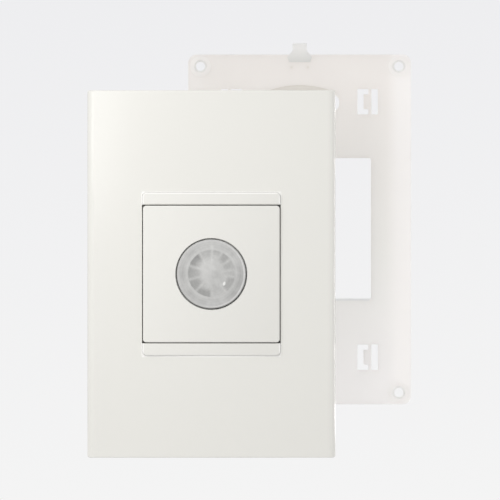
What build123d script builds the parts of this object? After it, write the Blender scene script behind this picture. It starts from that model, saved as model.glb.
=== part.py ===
from build123d import *
import math
import os

# Motion sensor light switch for a 4 x 2 wall box. Lengths are in millimetres.
# X runs to the right, Z runs up and the front faces -Y. The wall is the plane Y = 0
# and the origin lies midway between the two box screws.

# Clearances and the overrun of every cut
overrun = 1.0
slide_gap = 0.3
running_gap = 0.05
seat_gap = 0.1

# Module face, which the window of the cover goes round
face_step = 0.2
face_gap = 0.31
face_height = 9.7
face_wall = 1.4
face_skirt_wall = 0.8
face_skirt_length = 3.6
face_corner_radius = 1.0
face_bevel_width = 0.4
face_bevel_depth = 0.12
face_hole_round = 0.12
lens_gap = 0.42

# Cover plate
cover_side_gap = 5.5
cover_end_gap = 4.0
cover_depth = 9.2
cover_wall = 2.0
cover_cross_radius = 600.0
cover_length_radius = 1500.0
cover_roll_radius = 2.4
cover_inner_roll_radius = 0.6
cover_corner_radius = 0.8
cover_edge_round = 0.4
window_corner_radius = 1.6
window_edge_round = 0.12
collar_wall = 1.2
collar_end_gap = 0.5
pry_notch_centre = 6.1
pry_notch_width = 6.6
pry_notch_depth = 0.35
pry_notch_length = 6.0

# Claws of the cover and the slots that they pass
clip_reach_x = 20.0
clip_offset_z = 0.35
claw_thickness = 1.3
claw_width = 5.6
claw_length_behind_wall = 2.6
claw_barb_depth = 0.5
claw_barb_length = 2.0
claw_foot_depth = 1.4

# Support frame
flange_side_width = 10.39
flange_end_length = 12.35
flange_thickness = 2.0
flange_corner_radius = 3.0
rim_width = 1.2
rim_height = 1.5
bar_height = 9.5
bar_width = 4.05
bar_gap = 0.05
bar_wall = 1.2
bar_edge_round = 0.45
side_wall_thickness = 1.4
side_wall_height = 4.7
box_screw_spacing = 83.3
box_screw_slot_width = 4.1
box_screw_slot_length = 7.0
screw_pad_radius = 5.5
screw_pad_height = 0.8
frame_rib_reach = 11.0

# Module housing, front shell
housing_step = 0.1
housing_wall = 1.5
housing_neck_wall = 1.4
housing_front_wall = 1.3
housing_joint_depth = 5.0
housing_corner_radius = 1.0
neck_end_gap = 0.5
latch_reach = 12.0
latch_width = 5.0
latch_length = 2.0
latch_rise = 0.9
latch_height = 2.9
bead_rise = 0.15
bead_width = 8.0
bead_length = 0.6
bead_inset = 0.6
boss_radius = 2.5
boss_pilot_radius = 0.95
boss_pilot_length = 8.0
ledge_width = 6.0
ledge_depth = 1.8

# Rear base of the module, a cup
base_wall = 1.5
base_floor = 1.6
base_corner_radius = 1.6
column_radius = 2.9
column_gap = 0.5
column_inset = 0.2
column_end_length = 4.4
tunnel_gap = 0.2
base_ledge_length = 1.5
partition_thickness = 1.2
partition_end_length = 2.6
partition_length = 12.0

# Housing screws
housing_screw_radius = 0.9
housing_screw_length = 10.0
housing_screw_head_radius = 2.0
housing_screw_head_height = 1.4
housing_screw_slot_width = 0.5
housing_screw_slot_depth = 0.6
housing_screw_recess_share = 0.6

# Lens and its ring
lens_radius = 11.3
lens_wall = 0.8
lens_rise = 2.7
lens_flange_width = 1.9
lens_flange_thickness = 0.7
lens_disc_inset = 3.65
lens_ring_inset = 1.7
lens_groove_radius = 0.14
lens_rib_count = 12
lens_rib_width = 0.35
lens_rib_depth = 0.3
lens_rib_start_radius = 3.4
socket_wall = 1.5
retainer_thickness = 1.0
retainer_width = 3.0
retainer_lug_width = 3.0
retainer_lug_count = 3

# Circuit boards
board_thickness = 1.2
sensor_board_gap = 3.0
power_board_depth = 7.4
power_board_thickness = 1.6

# Sensor, lamp and photocell on the front board
can_flange_radius = 4.6
can_flange_thickness = 0.5
can_radius = 4.1
can_height = 4.2
can_lead_radius = 0.22
can_lead_length = 2.6
can_lead_circle_radius = 2.54
can_lead_count = 3
can_window_width = 4.6
can_window_height = 3.6
can_window_thickness = 0.5
can_window_proud = 0.1
can_window_corner_radius = 0.3
led_gap = 0.16
led_angle = -36.69
led_radius = 1.5
led_flange_radius = 1.6
led_flange_thickness = 0.8
led_height = 4.6
light_sensor_gap = 2.21
light_sensor_angle = -135
light_sensor_radius = 2.1
light_sensor_thickness = 1.5
light_sensor_leg_radius = 0.25
light_sensor_leg_reach = 1.2

# Trimmers for the on-time and the light threshold
trimmer_boss_gap = 0.9
trimmer_wall_gap = 0.2
trimmer_side = 6.2
trimmer_front_gap = 0.7
trimmer_corner_radius = 0.5
rotor_radius = 2.0
rotor_bore_depth = 1.7
rotor_height = 2.9
rotor_slot_width = 0.7
rotor_slot_depth = 0.8
rotor_slot_length = 3.2
trimmer_access_gap = 0.5

# Control chip and the header between the boards
chip_leg_inset = 0.54
chip_height = 3.9
chip_thickness = 1.5
chip_lead_gap = 1.05
chip_leg_pitch = 1.27
chip_leg_count = 7
chip_leg_width = 0.4
chip_leg_length = 1.0
chip_leg_thickness = 0.25
header_pitch = 2.54
header_pin_count = 7
header_inset = 4.8
header_strip_side = 2.5
header_pin_side = 0.64

# Power parts
part_gap = 2.0
relay_width = 20.0
relay_height = 10.0
relay_depth = 15.0
relay_inset = 5.2
relay_end_gap = 0.4
relay_corner_radius = 0.6
film_capacitor_width = 18.0
film_capacitor_height = 7.0
film_capacitor_depth = 12.0
film_capacitor_ledge_gap = 1.4
film_capacitor_corner_radius = 0.8
storage_capacitor_radius = 4.0
storage_capacitor_depth = 11.0
storage_capacitor_place_share = 20 / 43
storage_capacitor_round = 0.5
storage_capacitor_vent_width = 0.4
storage_capacitor_vent_depth = 0.2
varistor_radius = 4.3
varistor_thickness = 3.0
varistor_ledge_gap = 1.5
varistor_z = 1.0
varistor_stand = 0.9
varistor_round = 0.8
varistor_leg_radius = 0.35
varistor_leg_reach = 2.5
resistor_radius = 1.3
resistor_length = 8.0
resistor_drop = 2.7
resistor_leg_radius = 0.3
resistor_leg_length = 1.6
resistor_stand = 0.5
rectifier_width = 8.0
rectifier_height = 6.4
rectifier_depth = 2.6
rectifier_x = -7.0
rectifier_stand = 0.5
rectifier_leg_radius = 0.3
rectifier_leg_reach_x = 2.9
rectifier_leg_reach_z = 2.2

# Rising-cage terminals
terminal_count = 3
terminal_screw_radius = 1.5
terminal_screw_head_radius = 2.4
terminal_screw_head_height = 1.7
terminal_screw_pitch = 0.6
terminal_turns = 4
terminal_head_inset = 0.3
terminal_slot_width = 0.7
terminal_slot_depth = 0.9
cage_half_width = 4.0
cage_side_gap = 0.4
cage_wall_gap = 1.9
cage_half_length = 3.2
cage_side_wall = 1.1
cage_thread_wall = 1.4
cage_floor_wall = 1.2
wire_entry_radius = 2.0
contact_side_gap = 0.5
contact_thickness = 1.0
contact_end_length = 4.0
contact_leg_gap = 0.4

# Loose back plate, behind the module and off to its upper right
back_plate_x = 28.95
back_plate_z = 14.6
back_plate_side_gap = 1.85
back_plate_end_gap = 0.5
back_plate_thickness = 1.2
back_plate_corner_radius = 2.8
back_plate_window_gap = 1.45
back_plate_window_round = 0.6
window_sill_height = 0.7
window_sill_depth = 0.6
back_plate_border_width = 5.8
back_plate_border_thickness = 0.8
corner_boss_inset_x = 4.05
corner_boss_inset_z = 3.9
corner_boss_radius = 3.4
corner_boss_rise = 0.7
corner_boss_hole_radius = 1.5
corner_boss_sink_radius = 2.1
corner_boss_sink_depth = 0.6
arch_half_width = 13.4
arch_low_drop = 2.7
arch_radius = 31.0
arch_rise = 5.8
arch_corner_share = 0.479
arch_ledge_depth = 0.5
arch_ledge_drop = 2.0
arch_ledge_end_width = 0.4
arch_inner_radius = 56.0
lower_slot_length = 14.0
lower_slot_width = 6.6
clip_opening_height = 8.3
clip_bar_width = 2.0
clip_arm_length = 1.6
clip_arm_height = 1.7
clip_strip_width = 1.0
clip_side_slot_width = 2.1
lug_stem_width = 4.7
lug_stem_height = 3.7
lug_flare_width = 8.2
lug_flare_height = 2.4
lug_base_width = 7.0
lug_base_height = 1.65
lug_thickness = 2.0
lug_cap_height = 1.3
lug_cap_step = 0.4
lug_recess_drop = 2.75
lug_recess_width = 6.9
lug_recess_height = 2.9
lug_recess_depth = 0.3
lug_pin_mark_radius = 0.35
lug_pin_mark_depth = 0.8
lug_pin_mark_reach = 2.7

# Worked-out widths, from the terminals between the screw columns outward
terminal_pitch = 2 * cage_half_width + partition_thickness + 2 * cage_side_gap
terminal_reach = (terminal_count - 1) / 2 * terminal_pitch
screw_reach = terminal_reach + cage_half_width + column_gap + column_radius
base_side = 2 * (screw_reach + column_radius + column_inset + base_wall)
housing_side = base_side + 2 * housing_step
face_side = housing_side + 2 * face_step
window_width = face_side + 2 * face_gap
window_half = window_width / 2
module_opening_side = housing_side + 2 * seat_gap
window_height = window_width + 2 * (bar_width + bar_gap)
flange_width = window_width + 2 * flange_side_width
flange_height = box_screw_spacing + 2 * flange_end_length
cover_width = flange_width + 2 * (cover_side_gap + cover_wall)
cover_height = flange_height + 2 * (cover_end_gap + cover_wall)
back_plate_width = cover_width - 2 * (cover_wall + back_plate_side_gap)
back_plate_height = cover_height - 2 * (cover_wall + back_plate_end_gap)
back_plate_window_side = base_side + 2 * back_plate_window_gap
corner_boss_reach_x = back_plate_width / 2 - corner_boss_inset_x
corner_boss_reach_z = back_plate_height / 2 - corner_boss_inset_z
screw_hole_reach = box_screw_spacing / 2
clip_reach_z = screw_hole_reach + clip_offset_z
bar_corner_radius = window_corner_radius - bar_gap
neck_side = face_side - 2 * (face_skirt_wall + slide_gap)
board_side = base_side - 2 * (base_wall + slide_gap)
base_ledge_inner = board_side / 2 - ledge_depth
lens_disc_radius = lens_radius - lens_disc_inset
lens_ring_radius = lens_radius - lens_ring_inset
lens_flange_radius = lens_radius + lens_flange_width
retainer_inner_radius = lens_flange_radius - retainer_width

# Worked-out depths. Fronts lie at negative Y, depths behind the wall at positive Y.
face_front = -face_height
face_back = face_front + face_wall
housing_front = face_back + slide_gap
housing_inner_front = housing_front + housing_front_wall
neck_end = face_front + face_skirt_length + neck_end_gap
collar_back_height = side_wall_height + collar_end_gap
lens_flange_back = housing_inner_front + lens_flange_thickness
retainer_back = lens_flange_back + retainer_thickness
sensor_board_front = retainer_back + sensor_board_gap
sensor_board_back = sensor_board_front + board_thickness
light_sensor_stand = sensor_board_gap - light_sensor_thickness - seat_gap
trimmer_height = sensor_board_front - housing_inner_front - trimmer_front_gap
counterbore_end_depth = housing_joint_depth + column_end_length
power_board_back = power_board_depth + power_board_thickness
base_floor_front = power_board_back + relay_depth + relay_end_gap
module_rear_depth = base_floor_front + base_floor
wire_room = 2 * (wire_entry_radius + tunnel_gap)
terminal_travel = terminal_turns * terminal_screw_pitch
terminal_head_back = module_rear_depth - terminal_head_inset
terminal_head_front = terminal_head_back - terminal_screw_head_height
cage_back = terminal_head_front - terminal_travel - slide_gap
contact_back = cage_back - cage_thread_wall - slide_gap
contact_front = contact_back - contact_thickness
cage_room_front = contact_front - wire_room
cage_front = cage_room_front - cage_floor_wall
wire_entry_depth = contact_front - wire_room / 2
back_plate_front = module_rear_depth + slide_gap
back_plate_back = back_plate_front + back_plate_thickness

# Worked-out places of the parts on the boards
led_reach = can_flange_radius + led_flange_radius + led_gap
led_x = led_reach * math.cos(math.radians(led_angle))
led_z = led_reach * math.sin(math.radians(led_angle))
light_sensor_reach = can_flange_radius + light_sensor_radius + light_sensor_gap
light_sensor_x = light_sensor_reach * math.cos(math.radians(light_sensor_angle))
light_sensor_z = light_sensor_reach * math.sin(math.radians(light_sensor_angle))
trimmer_reach_x = screw_reach - boss_radius - trimmer_boss_gap - trimmer_side / 2
trimmer_z = -(neck_side / 2 - housing_neck_wall - trimmer_wall_gap - trimmer_side / 2)
trimmer_access_radius = rotor_radius + trimmer_access_gap
chip_width = (chip_leg_count - 1) * chip_leg_pitch + 2 * chip_leg_inset
chip_z = -(chip_height / 2 + chip_leg_length + chip_lead_gap)
header_z = board_side / 2 - header_inset
relay_z = board_side / 2 - relay_inset - relay_height / 2
film_capacitor_x = -(base_ledge_inner - film_capacitor_ledge_gap - film_capacitor_width / 2)
film_capacitor_z = relay_z - (relay_height + film_capacitor_height) / 2 - part_gap
varistor_x = base_ledge_inner - varistor_ledge_gap - varistor_thickness / 2
storage_capacitor_start = film_capacitor_x + film_capacitor_width / 2
storage_capacitor_end = varistor_x - varistor_thickness / 2
storage_capacitor_span = storage_capacitor_end - storage_capacitor_start
storage_capacitor_x = storage_capacitor_start + storage_capacitor_place_share * storage_capacitor_span
storage_capacitor_z = relay_z - relay_height / 2 - part_gap - storage_capacitor_radius
resistor_x = film_capacitor_x
resistor_z = film_capacitor_z - film_capacitor_height / 2 - resistor_drop
terminal_z = -(base_side / 2 - base_wall - cage_wall_gap - cage_half_length)
contact_width = 2 * (cage_half_width - cage_side_wall - contact_side_gap)
contact_leg_z = resistor_z - resistor_radius - contact_leg_gap - contact_thickness
contact_end_z = terminal_z - contact_end_length
partition_reach_z = -terminal_z - cage_half_length - partition_end_length


def block(x0, x1, y0, y1, z0, z1):
    """Box between the given limits."""
    centre = Pos((x0 + x1) / 2, (y0 + y1) / 2, (z0 + z1) / 2)
    return centre * Box(x1 - x0, y1 - y0, z1 - z0)


def plate(profile, y0, y1, x=0, z=0):
    """Profile drawn in X and Z, carried back from y0 to y1."""
    return extrude(Plane.XZ.offset(-y0) * Pos(x, z) * profile, amount=y0 - y1)


def post(radius, x, z, y0, y1):
    """Round bar along Y."""
    return Pos(x, (y0 + y1) / 2, z) * Rot(90, 0, 0) * Cylinder(radius, y1 - y0)


def four_corners(reach_x, reach_z):
    """The four places at plus and minus the two reaches."""
    return [(sx * reach_x, sz * reach_z) for sx in (-1, 1) for sz in (-1, 1)]


def joined(pieces):
    """All the pieces fused into one shape."""
    whole = pieces[0]
    for piece in pieces[1:]:
        whole += piece
    return whole


def terminal_places():
    """The X places of the terminals, from left to right."""
    return [i * terminal_pitch - terminal_reach for i in range(terminal_count)]


# Cover plate

def pillow(inset, roll_radius):
    """Block with the cover's doubly curved front and rolled long edges, drawn in by inset."""
    half = cover_width / 2 - inset
    cross_radius = cover_cross_radius - inset
    front = inset - cover_depth
    edge = front + cross_radius - math.sqrt(cross_radius**2 - half**2)
    arc = ThreePointArc((-half, edge), (0, front), (half, edge))
    sides = Polyline((half, edge), (half, overrun), (-half, overrun), (-half, edge))
    section = make_face(arc + sides)
    section = fillet(section.vertices().group_by(Axis.Y)[0], roll_radius)
    axis = Axis((0, cover_length_radius - cover_depth, 0), (1, 0, 0))
    reach = (cover_height / 2 + overrun) / (cover_length_radius - cover_depth)
    sweep = math.degrees(math.asin(reach))
    return revolve(section.rotate(axis, -sweep), axis, 2 * sweep)


def cover_claw(sign_x, sign_z):
    """Claw with a barb on its outer side, from the inside of the cover through the frame."""
    inner = clip_reach_x - claw_thickness / 2
    outer = clip_reach_x + claw_thickness / 2
    front = cover_wall - cover_depth
    tip = claw_length_behind_wall
    outline = Polyline(
        (inner, front),
        (outer + claw_foot_depth, front),
        (outer, front + 2 * claw_foot_depth),
        (outer, tip - claw_barb_length),
        (outer + claw_barb_depth, tip - claw_barb_length + claw_barb_depth),
        (outer, tip),
        (inner, tip),
        close=True,
    )
    claw = extrude(make_face(outline), amount=claw_width / 2, both=True)
    if sign_x < 0:
        claw = mirror(claw, Plane.YZ)
    return Pos(0, 0, sign_z * clip_reach_z) * claw


def window_rim(shell):
    """The front edges of the cover's window."""
    reach_x = window_width / 2 + slide_gap
    reach_z = window_height / 2 + slide_gap
    rim = []
    for edge in shell.edges():
        box = edge.bounding_box()
        inside = max(-box.min.X, box.max.X) < reach_x and max(-box.min.Z, box.max.Z) < reach_z
        if inside and box.max.Y < -collar_back_height - overrun:
            rim.append(edge)
    return rim


def make_cover_plate():
    front_limit = -cover_depth - overrun
    shell = pillow(0, cover_roll_radius)
    shell &= plate(Rectangle(cover_width, cover_height), front_limit, 0)
    ends = shell.faces().sort_by(Axis.Z)
    rims = [edge for end in (ends[0], ends[-1]) for edge in end.edges() if edge.geom_type != GeomType.LINE]
    shell = fillet(rims, cover_edge_round)
    shell &= plate(RectangleRounded(cover_width, cover_height, cover_corner_radius), front_limit, 0)
    inside = Rectangle(cover_width - 2 * cover_wall, cover_height - 2 * cover_wall)
    cavity = pillow(cover_wall, cover_inner_roll_radius) & plate(inside, front_limit, overrun)
    collar = RectangleRounded(
        window_width + 2 * collar_wall,
        window_height + 2 * collar_wall,
        window_corner_radius + collar_wall,
    )
    cavity -= plate(collar, front_limit, -collar_back_height)
    shell -= cavity
    window = RectangleRounded(window_width, window_height, window_corner_radius)
    shell -= plate(window, front_limit, overrun)
    shell = fillet(window_rim(shell), window_edge_round)
    shell -= block(
        pry_notch_centre - pry_notch_width / 2,
        pry_notch_centre + pry_notch_width / 2,
        -pry_notch_length,
        overrun,
        cover_height / 2 - pry_notch_depth,
        cover_height / 2 + overrun,
    )
    return joined([shell] + [cover_claw(sx, sz) for sx, sz in four_corners(1, 1)])


# Support frame

def frame_bar(sign):
    """Hollow bar above or below the module, which shows through the cover's window."""
    near = window_half
    far = near + bar_width
    length = window_width - 2 * bar_gap
    bar = plate(Rectangle(length, bar_width), -bar_height, 0, 0, (near + far) / 2)
    outer = bar.edges().filter_by(Axis.Y).group_by(Axis.Z)[-1]
    bar = fillet(outer, bar_corner_radius)
    bar = fillet(bar.faces().sort_by(Axis.Y)[0].edges(), bar_edge_round)
    half_pocket = length / 2 - bar_wall
    pocket_front = -bar_height + bar_wall
    pocket = block(-half_pocket, half_pocket, pocket_front, overrun, near + bar_wall, far - bar_wall)
    bar -= pocket
    for side in (-1, 1):
        bar -= latch_window(side * latch_reach)
    return bar if sign > 0 else mirror(bar, Plane.XY)


def latch_window(x):
    """Window in the inner wall of a bar, which takes a wedge of the housing."""
    half = latch_width / 2 + slide_gap
    front = -latch_height - latch_length - slide_gap
    return block(x - half, x + half, front, -latch_height + slide_gap,
                 window_half - overrun, window_half + bar_wall)


def make_support_frame():
    outline = RectangleRounded(flange_width, flange_height, flange_corner_radius)
    inner_rim = RectangleRounded(
        flange_width - 2 * rim_width,
        flange_height - 2 * rim_width,
        flange_corner_radius - rim_width,
    )
    front = -flange_thickness
    flange = plate(outline, front, 0)
    flange += plate(outline - inner_rim, front - rim_height, front)
    side_inner = module_opening_side / 2
    side_outer = side_inner + side_wall_thickness
    side_end = window_half + bar_width
    rib_start = window_half + bar_width
    rib_end = flange_height / 2 - rim_width / 2
    for side in (-1, 1):
        x0, x1 = sorted((side * side_inner, side * side_outer))
        flange += block(x0, x1, -side_wall_height, front, -side_end, side_end)
        for end in (-1, 1):
            z0, z1 = sorted((end * rib_start, end * rib_end))
            x0 = side * frame_rib_reach - rim_width / 2
            flange += block(x0, x0 + rim_width, front - rim_height, front, z0, z1)
    for end in (-1, 1):
        flange += post(screw_pad_radius, 0, end * screw_hole_reach, front - screw_pad_height, front)
    opening = RectangleRounded(module_opening_side, module_opening_side, housing_corner_radius)
    flange -= plate(opening, -side_wall_height - overrun, overrun)
    slot = Rot(0, 0, 90) * SlotOverall(box_screw_slot_length, box_screw_slot_width)
    for end in (-1, 1):
        flange -= plate(slot, -bar_height, overrun, 0, end * screw_hole_reach)
        half_pocket = window_half - bar_gap - bar_wall
        z0, z1 = sorted((end * (window_half + bar_wall), end * (window_half + bar_width - bar_wall)))
        flange -= block(-half_pocket, half_pocket, -bar_height, overrun, z0, z1)
    for sx, sz in four_corners(1, 1):
        flange -= claw_slot(sx, sz)
    return joined([flange, frame_bar(1), frame_bar(-1)])


def claw_slot(sign_x, sign_z):
    """Opening in the flange for one claw of the cover, wide enough for its barb."""
    inner = clip_reach_x - claw_thickness / 2 - slide_gap
    outer = clip_reach_x + claw_thickness / 2 + claw_barb_depth + slide_gap
    x0, x1 = sorted((sign_x * inner, sign_x * outer))
    half = claw_width / 2 + 2 * slide_gap
    z = sign_z * clip_reach_z
    return block(x0, x1, -bar_height, overrun, z - half, z + half)


# Face plate of the module

def make_face_plate():
    outline = RectangleRounded(face_side, face_side, face_corner_radius)
    bevel_back = face_front + face_bevel_depth
    skirt_back = face_front + face_skirt_length
    face = plate(outline, bevel_back, skirt_back)
    slope = math.degrees(math.atan(face_bevel_width / face_bevel_depth))
    face += extrude(Plane.XZ.offset(-bevel_back) * outline, amount=face_bevel_depth, taper=slope)
    inside = face_side - 2 * face_skirt_wall
    face -= plate(Rectangle(inside, inside), face_back, skirt_back + overrun)
    hole_radius = lens_radius + lens_gap
    face -= post(hole_radius, 0, 0, face_front - overrun, face_back + overrun)
    circles = face.edges().filter_by(GeomType.CIRCLE).filter_by(lambda e: e.radius > lens_radius)
    return fillet(circles.sort_by(Axis.Y)[0], face_hole_round)


# Module housing

def housing_latch(side, end):
    """Wedge on the top or bottom of the housing that snaps into a bar's window."""
    wall = housing_side / 2
    front = -latch_height - latch_length
    outline = Polyline(
        (front, wall - housing_wall / 2),
        (-latch_height, wall - housing_wall / 2),
        (-latch_height, wall),
        (front + latch_length / 2, wall + latch_rise),
        (front, wall + latch_rise),
        close=True,
    )
    wedge = extrude(Plane.YZ * make_face(outline), amount=latch_width / 2, both=True)
    if end < 0:
        wedge = mirror(wedge, Plane.XY)
    return Pos(side * latch_reach, 0, 0) * wedge


def snap_bead(turn):
    """Low bead on one side of the neck, which the skirt of the face snaps over."""
    side = neck_side / 2
    front = housing_front + bead_inset
    bead = block(-bead_width / 2, bead_width / 2, front, front + bead_length,
                 side - bead_rise, side + bead_rise)
    return Rot(0, turn * 90, 0) * bead


def make_module_housing():
    neck = RectangleRounded(neck_side, neck_side, housing_corner_radius)
    body = RectangleRounded(housing_side, housing_side, housing_corner_radius)
    neck_inside = neck_side - 2 * housing_neck_wall
    body_inside = housing_side - 2 * housing_wall
    step_back = neck_end + housing_neck_wall
    shell = plate(neck, housing_front, neck_end)
    shell += plate(body, neck_end, housing_joint_depth)
    shell -= plate(Rectangle(neck_inside, neck_inside), housing_inner_front, step_back)
    shell -= plate(Rectangle(body_inside, body_inside), step_back, housing_joint_depth + overrun)
    socket_radius = lens_flange_radius + seat_gap
    shell += post(socket_radius + socket_wall, 0, 0, housing_inner_front, retainer_back)
    shell -= post(socket_radius, 0, 0, housing_inner_front, retainer_back + overrun)
    shell -= post(lens_radius + seat_gap, 0, 0, housing_front - overrun, housing_inner_front + overrun)
    for x, z in four_corners(screw_reach, screw_reach):
        shell += post(boss_radius, x, z, housing_inner_front, housing_joint_depth)
        shell -= post(
            boss_pilot_radius, x, z, housing_joint_depth - boss_pilot_length, housing_joint_depth + overrun
        )
    inner = body_inside / 2 - ledge_depth
    for turn in range(4):
        ledge = block(inner, body_inside / 2 + housing_wall / 2, neck_end, sensor_board_front,
                      -ledge_width / 2, ledge_width / 2)
        shell += Rot(0, turn * 90, 0) * ledge
        shell += snap_bead(turn)
    for side in (-1, 1):
        shell -= post(
            trimmer_access_radius,
            side * trimmer_reach_x,
            trimmer_z,
            housing_front - overrun,
            housing_inner_front + overrun,
        )
        for end in (-1, 1):
            shell += housing_latch(side, end)
    return shell


# Rear base

def make_rear_base():
    outline = RectangleRounded(base_side, base_side, base_corner_radius)
    inside = base_side - 2 * base_wall
    cup = plate(outline, housing_joint_depth, module_rear_depth)
    cup -= plate(Rectangle(inside, inside), housing_joint_depth - overrun, base_floor_front)
    for x, z in four_corners(screw_reach, screw_reach):
        cup += post(column_radius, x, z, housing_joint_depth, module_rear_depth - base_floor / 2)
    for x, z in four_corners(screw_reach, screw_reach):
        bore_radius = housing_screw_head_radius + tunnel_gap
        cup -= post(bore_radius, x, z, counterbore_end_depth, module_rear_depth + overrun)
        shank_radius = housing_screw_radius + tunnel_gap
        cup -= post(shank_radius, x, z, housing_joint_depth - overrun, counterbore_end_depth + overrun)
    for side in (-1, 1):
        x0, x1 = sorted((side * base_ledge_inner, side * (base_side - base_wall) / 2))
        cup += block(x0, x1, power_board_back, power_board_back + base_ledge_length,
                     -ledge_width / 2, ledge_width / 2)
    edges = [x - terminal_pitch / 2 for x in terminal_places()]
    edges.append(edges[-1] + terminal_pitch)
    for x in edges:
        cup += block(
            x - partition_thickness / 2,
            x + partition_thickness / 2,
            base_floor_front - partition_length,
            base_floor_front + base_floor / 2,
            -(base_side - base_wall) / 2,
            -partition_reach_z,
        )
    for x in terminal_places():
        cup -= post(terminal_screw_head_radius + tunnel_gap, x, terminal_z,
                    base_floor_front - overrun, module_rear_depth + overrun)
        entry = Cylinder(wire_entry_radius, base_wall + 2 * overrun)
        cup -= Pos(x, wire_entry_depth, -(base_side - base_wall) / 2) * entry
    return cup


def make_housing_screws():
    screws = []
    head_front = counterbore_end_depth
    head_back = head_front + housing_screw_head_height
    for x, z in four_corners(screw_reach, screw_reach):
        screw = post(housing_screw_radius, x, z, head_front - housing_screw_length, head_front)
        screw += post(housing_screw_head_radius, x, z, head_front, head_back)
        for turn in (0, 90):
            half = housing_screw_head_radius * housing_screw_recess_share
            arm = block(
                -half,
                half,
                head_back - housing_screw_slot_depth,
                head_back + overrun,
                -housing_screw_slot_width / 2,
                housing_screw_slot_width / 2,
            )
            screw -= Pos(x, 0, z) * Rot(0, turn, 0) * arm
        screws.append(screw)
    return Compound(children=screws)


# Lens

def lens_dome_radius():
    """Radius of the sphere whose cap has the lens's width and rise."""
    return (lens_radius**2 + lens_rise**2) / (2 * lens_rise)


def lens_dome_point(radius):
    """Place on the dome's outside at a distance from the lens axis."""
    centre = face_front - lens_rise + lens_dome_radius()
    return (radius, centre - math.sqrt(lens_dome_radius() ** 2 - radius**2))


def around_axis(section):
    """Section drawn in X and Y, revolved about the lens axis."""
    return revolve(section, Axis.Y, 360)


def make_fresnel_lens():
    sphere_radius = lens_dome_radius()
    centre = face_front - lens_rise + sphere_radius
    bore_radius = lens_radius - lens_wall
    outer = Sphere(sphere_radius) & post(lens_radius, 0, 0, -sphere_radius, 0)
    inner = Sphere(sphere_radius - lens_wall) & post(bore_radius, 0, 0, -sphere_radius, 0)
    front_limit = face_front - lens_rise - overrun
    solid = Pos(0, centre, 0) * outer & block(
        -lens_radius, lens_radius, front_limit, lens_flange_back, -lens_radius, lens_radius
    )
    hollow = Pos(0, centre, 0) * inner & block(
        -lens_radius, lens_radius, front_limit, lens_flange_back + overrun, -lens_radius, lens_radius
    )
    lens = solid + post(lens_flange_radius, 0, 0, housing_inner_front, lens_flange_back)
    lens -= hollow
    for radius in (lens_disc_radius, lens_ring_radius):
        x, y = lens_dome_point(radius)
        lens -= around_axis(Pos(x, y) * Circle(lens_groove_radius))
    shell = Sphere(sphere_radius - lens_wall / 2) - Sphere(sphere_radius - lens_wall - lens_rib_depth)
    shell = Pos(0, centre, 0) * shell
    for i in range(lens_rib_count):
        strip = block(
            lens_rib_start_radius,
            lens_disc_radius,
            front_limit,
            housing_front,
            -lens_rib_width / 2,
            lens_rib_width / 2,
        )
        lens += Rot(0, i * 360 / lens_rib_count, 0) * strip & shell
    return lens


def make_lens_retainer():
    ring = post(lens_flange_radius, 0, 0, lens_flange_back, retainer_back)
    ring -= post(retainer_inner_radius, 0, 0, lens_flange_back - overrun, retainer_back + overrun)
    reach = lens_flange_radius + seat_gap + socket_wall
    for i in range(retainer_lug_count):
        lug = block(
            retainer_inner_radius + lens_wall,
            reach,
            retainer_back,
            retainer_back + lens_wall,
            -retainer_lug_width / 2,
            retainer_lug_width / 2,
        )
        ring += Rot(0, i * 360 / retainer_lug_count - 90, 0) * lug
    return ring


# Boards

def make_board(front, back, corner_radius):
    """Square board with its corners cut away around round columns."""
    half = board_side / 2
    board = block(-half, half, front, back, -half, half)
    notch = screw_reach - corner_radius - slide_gap
    for sx, sz in four_corners(1, 1):
        x0, x1 = sorted((sx * notch, sx * (half + overrun)))
        z0, z1 = sorted((sz * notch, sz * (half + overrun)))
        board -= block(x0, x1, front - overrun, back + overrun, z0, z1)
    return board


def can_lead_places():
    """Places of the sensor's leads about the lens axis."""
    step = 2 * math.pi / 4
    return [
        (can_lead_circle_radius * math.cos(i * step), can_lead_circle_radius * math.sin(i * step))
        for i in range(can_lead_count)
    ]


def make_sensor_board():
    board = make_board(sensor_board_front, sensor_board_back, boss_radius)
    for x, z in can_lead_places():
        board -= post(can_lead_radius + seat_gap, x, z,
                      sensor_board_front - overrun, sensor_board_back + overrun)
    return board


def make_power_board():
    return make_board(power_board_depth, power_board_back, column_radius)


# Parts on the front of the sensor board

def make_pir_sensor_can():
    front = sensor_board_front - can_height
    can = post(can_radius, 0, 0, front, sensor_board_front)
    can = fillet(can.edges().sort_by(Axis.Y)[0], can_flange_thickness)
    can += post(can_flange_radius, 0, 0, sensor_board_front - can_flange_thickness, sensor_board_front)
    for x, z in can_lead_places():
        can += post(can_lead_radius, x, z, sensor_board_front, sensor_board_front + can_lead_length)
    recess = RectangleRounded(can_window_width, can_window_height, can_window_corner_radius)
    depth = can_window_thickness - can_window_proud
    can -= plate(recess, front - overrun, front + depth)
    return can


def make_pir_window():
    front = sensor_board_front - can_height - can_window_proud
    outline = RectangleRounded(can_window_width, can_window_height, can_window_corner_radius)
    return plate(outline, front, front + can_window_thickness)


def make_indicator_led():
    dome_centre = sensor_board_front - led_height + led_radius
    lamp = post(led_radius, led_x, led_z, dome_centre, sensor_board_front)
    lamp += Pos(led_x, dome_centre, led_z) * Sphere(led_radius)
    lamp += post(led_flange_radius, led_x, led_z,
                 sensor_board_front - led_flange_thickness, sensor_board_front)
    return lamp


def make_light_sensor():
    back = sensor_board_front - light_sensor_stand
    cell = post(light_sensor_radius, light_sensor_x, light_sensor_z, back - light_sensor_thickness, back)
    for side in (-1, 1):
        x = light_sensor_x + side * light_sensor_leg_reach
        cell += post(light_sensor_leg_radius, x, light_sensor_z, back, sensor_board_front)
    return cell


# Trimmers

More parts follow.
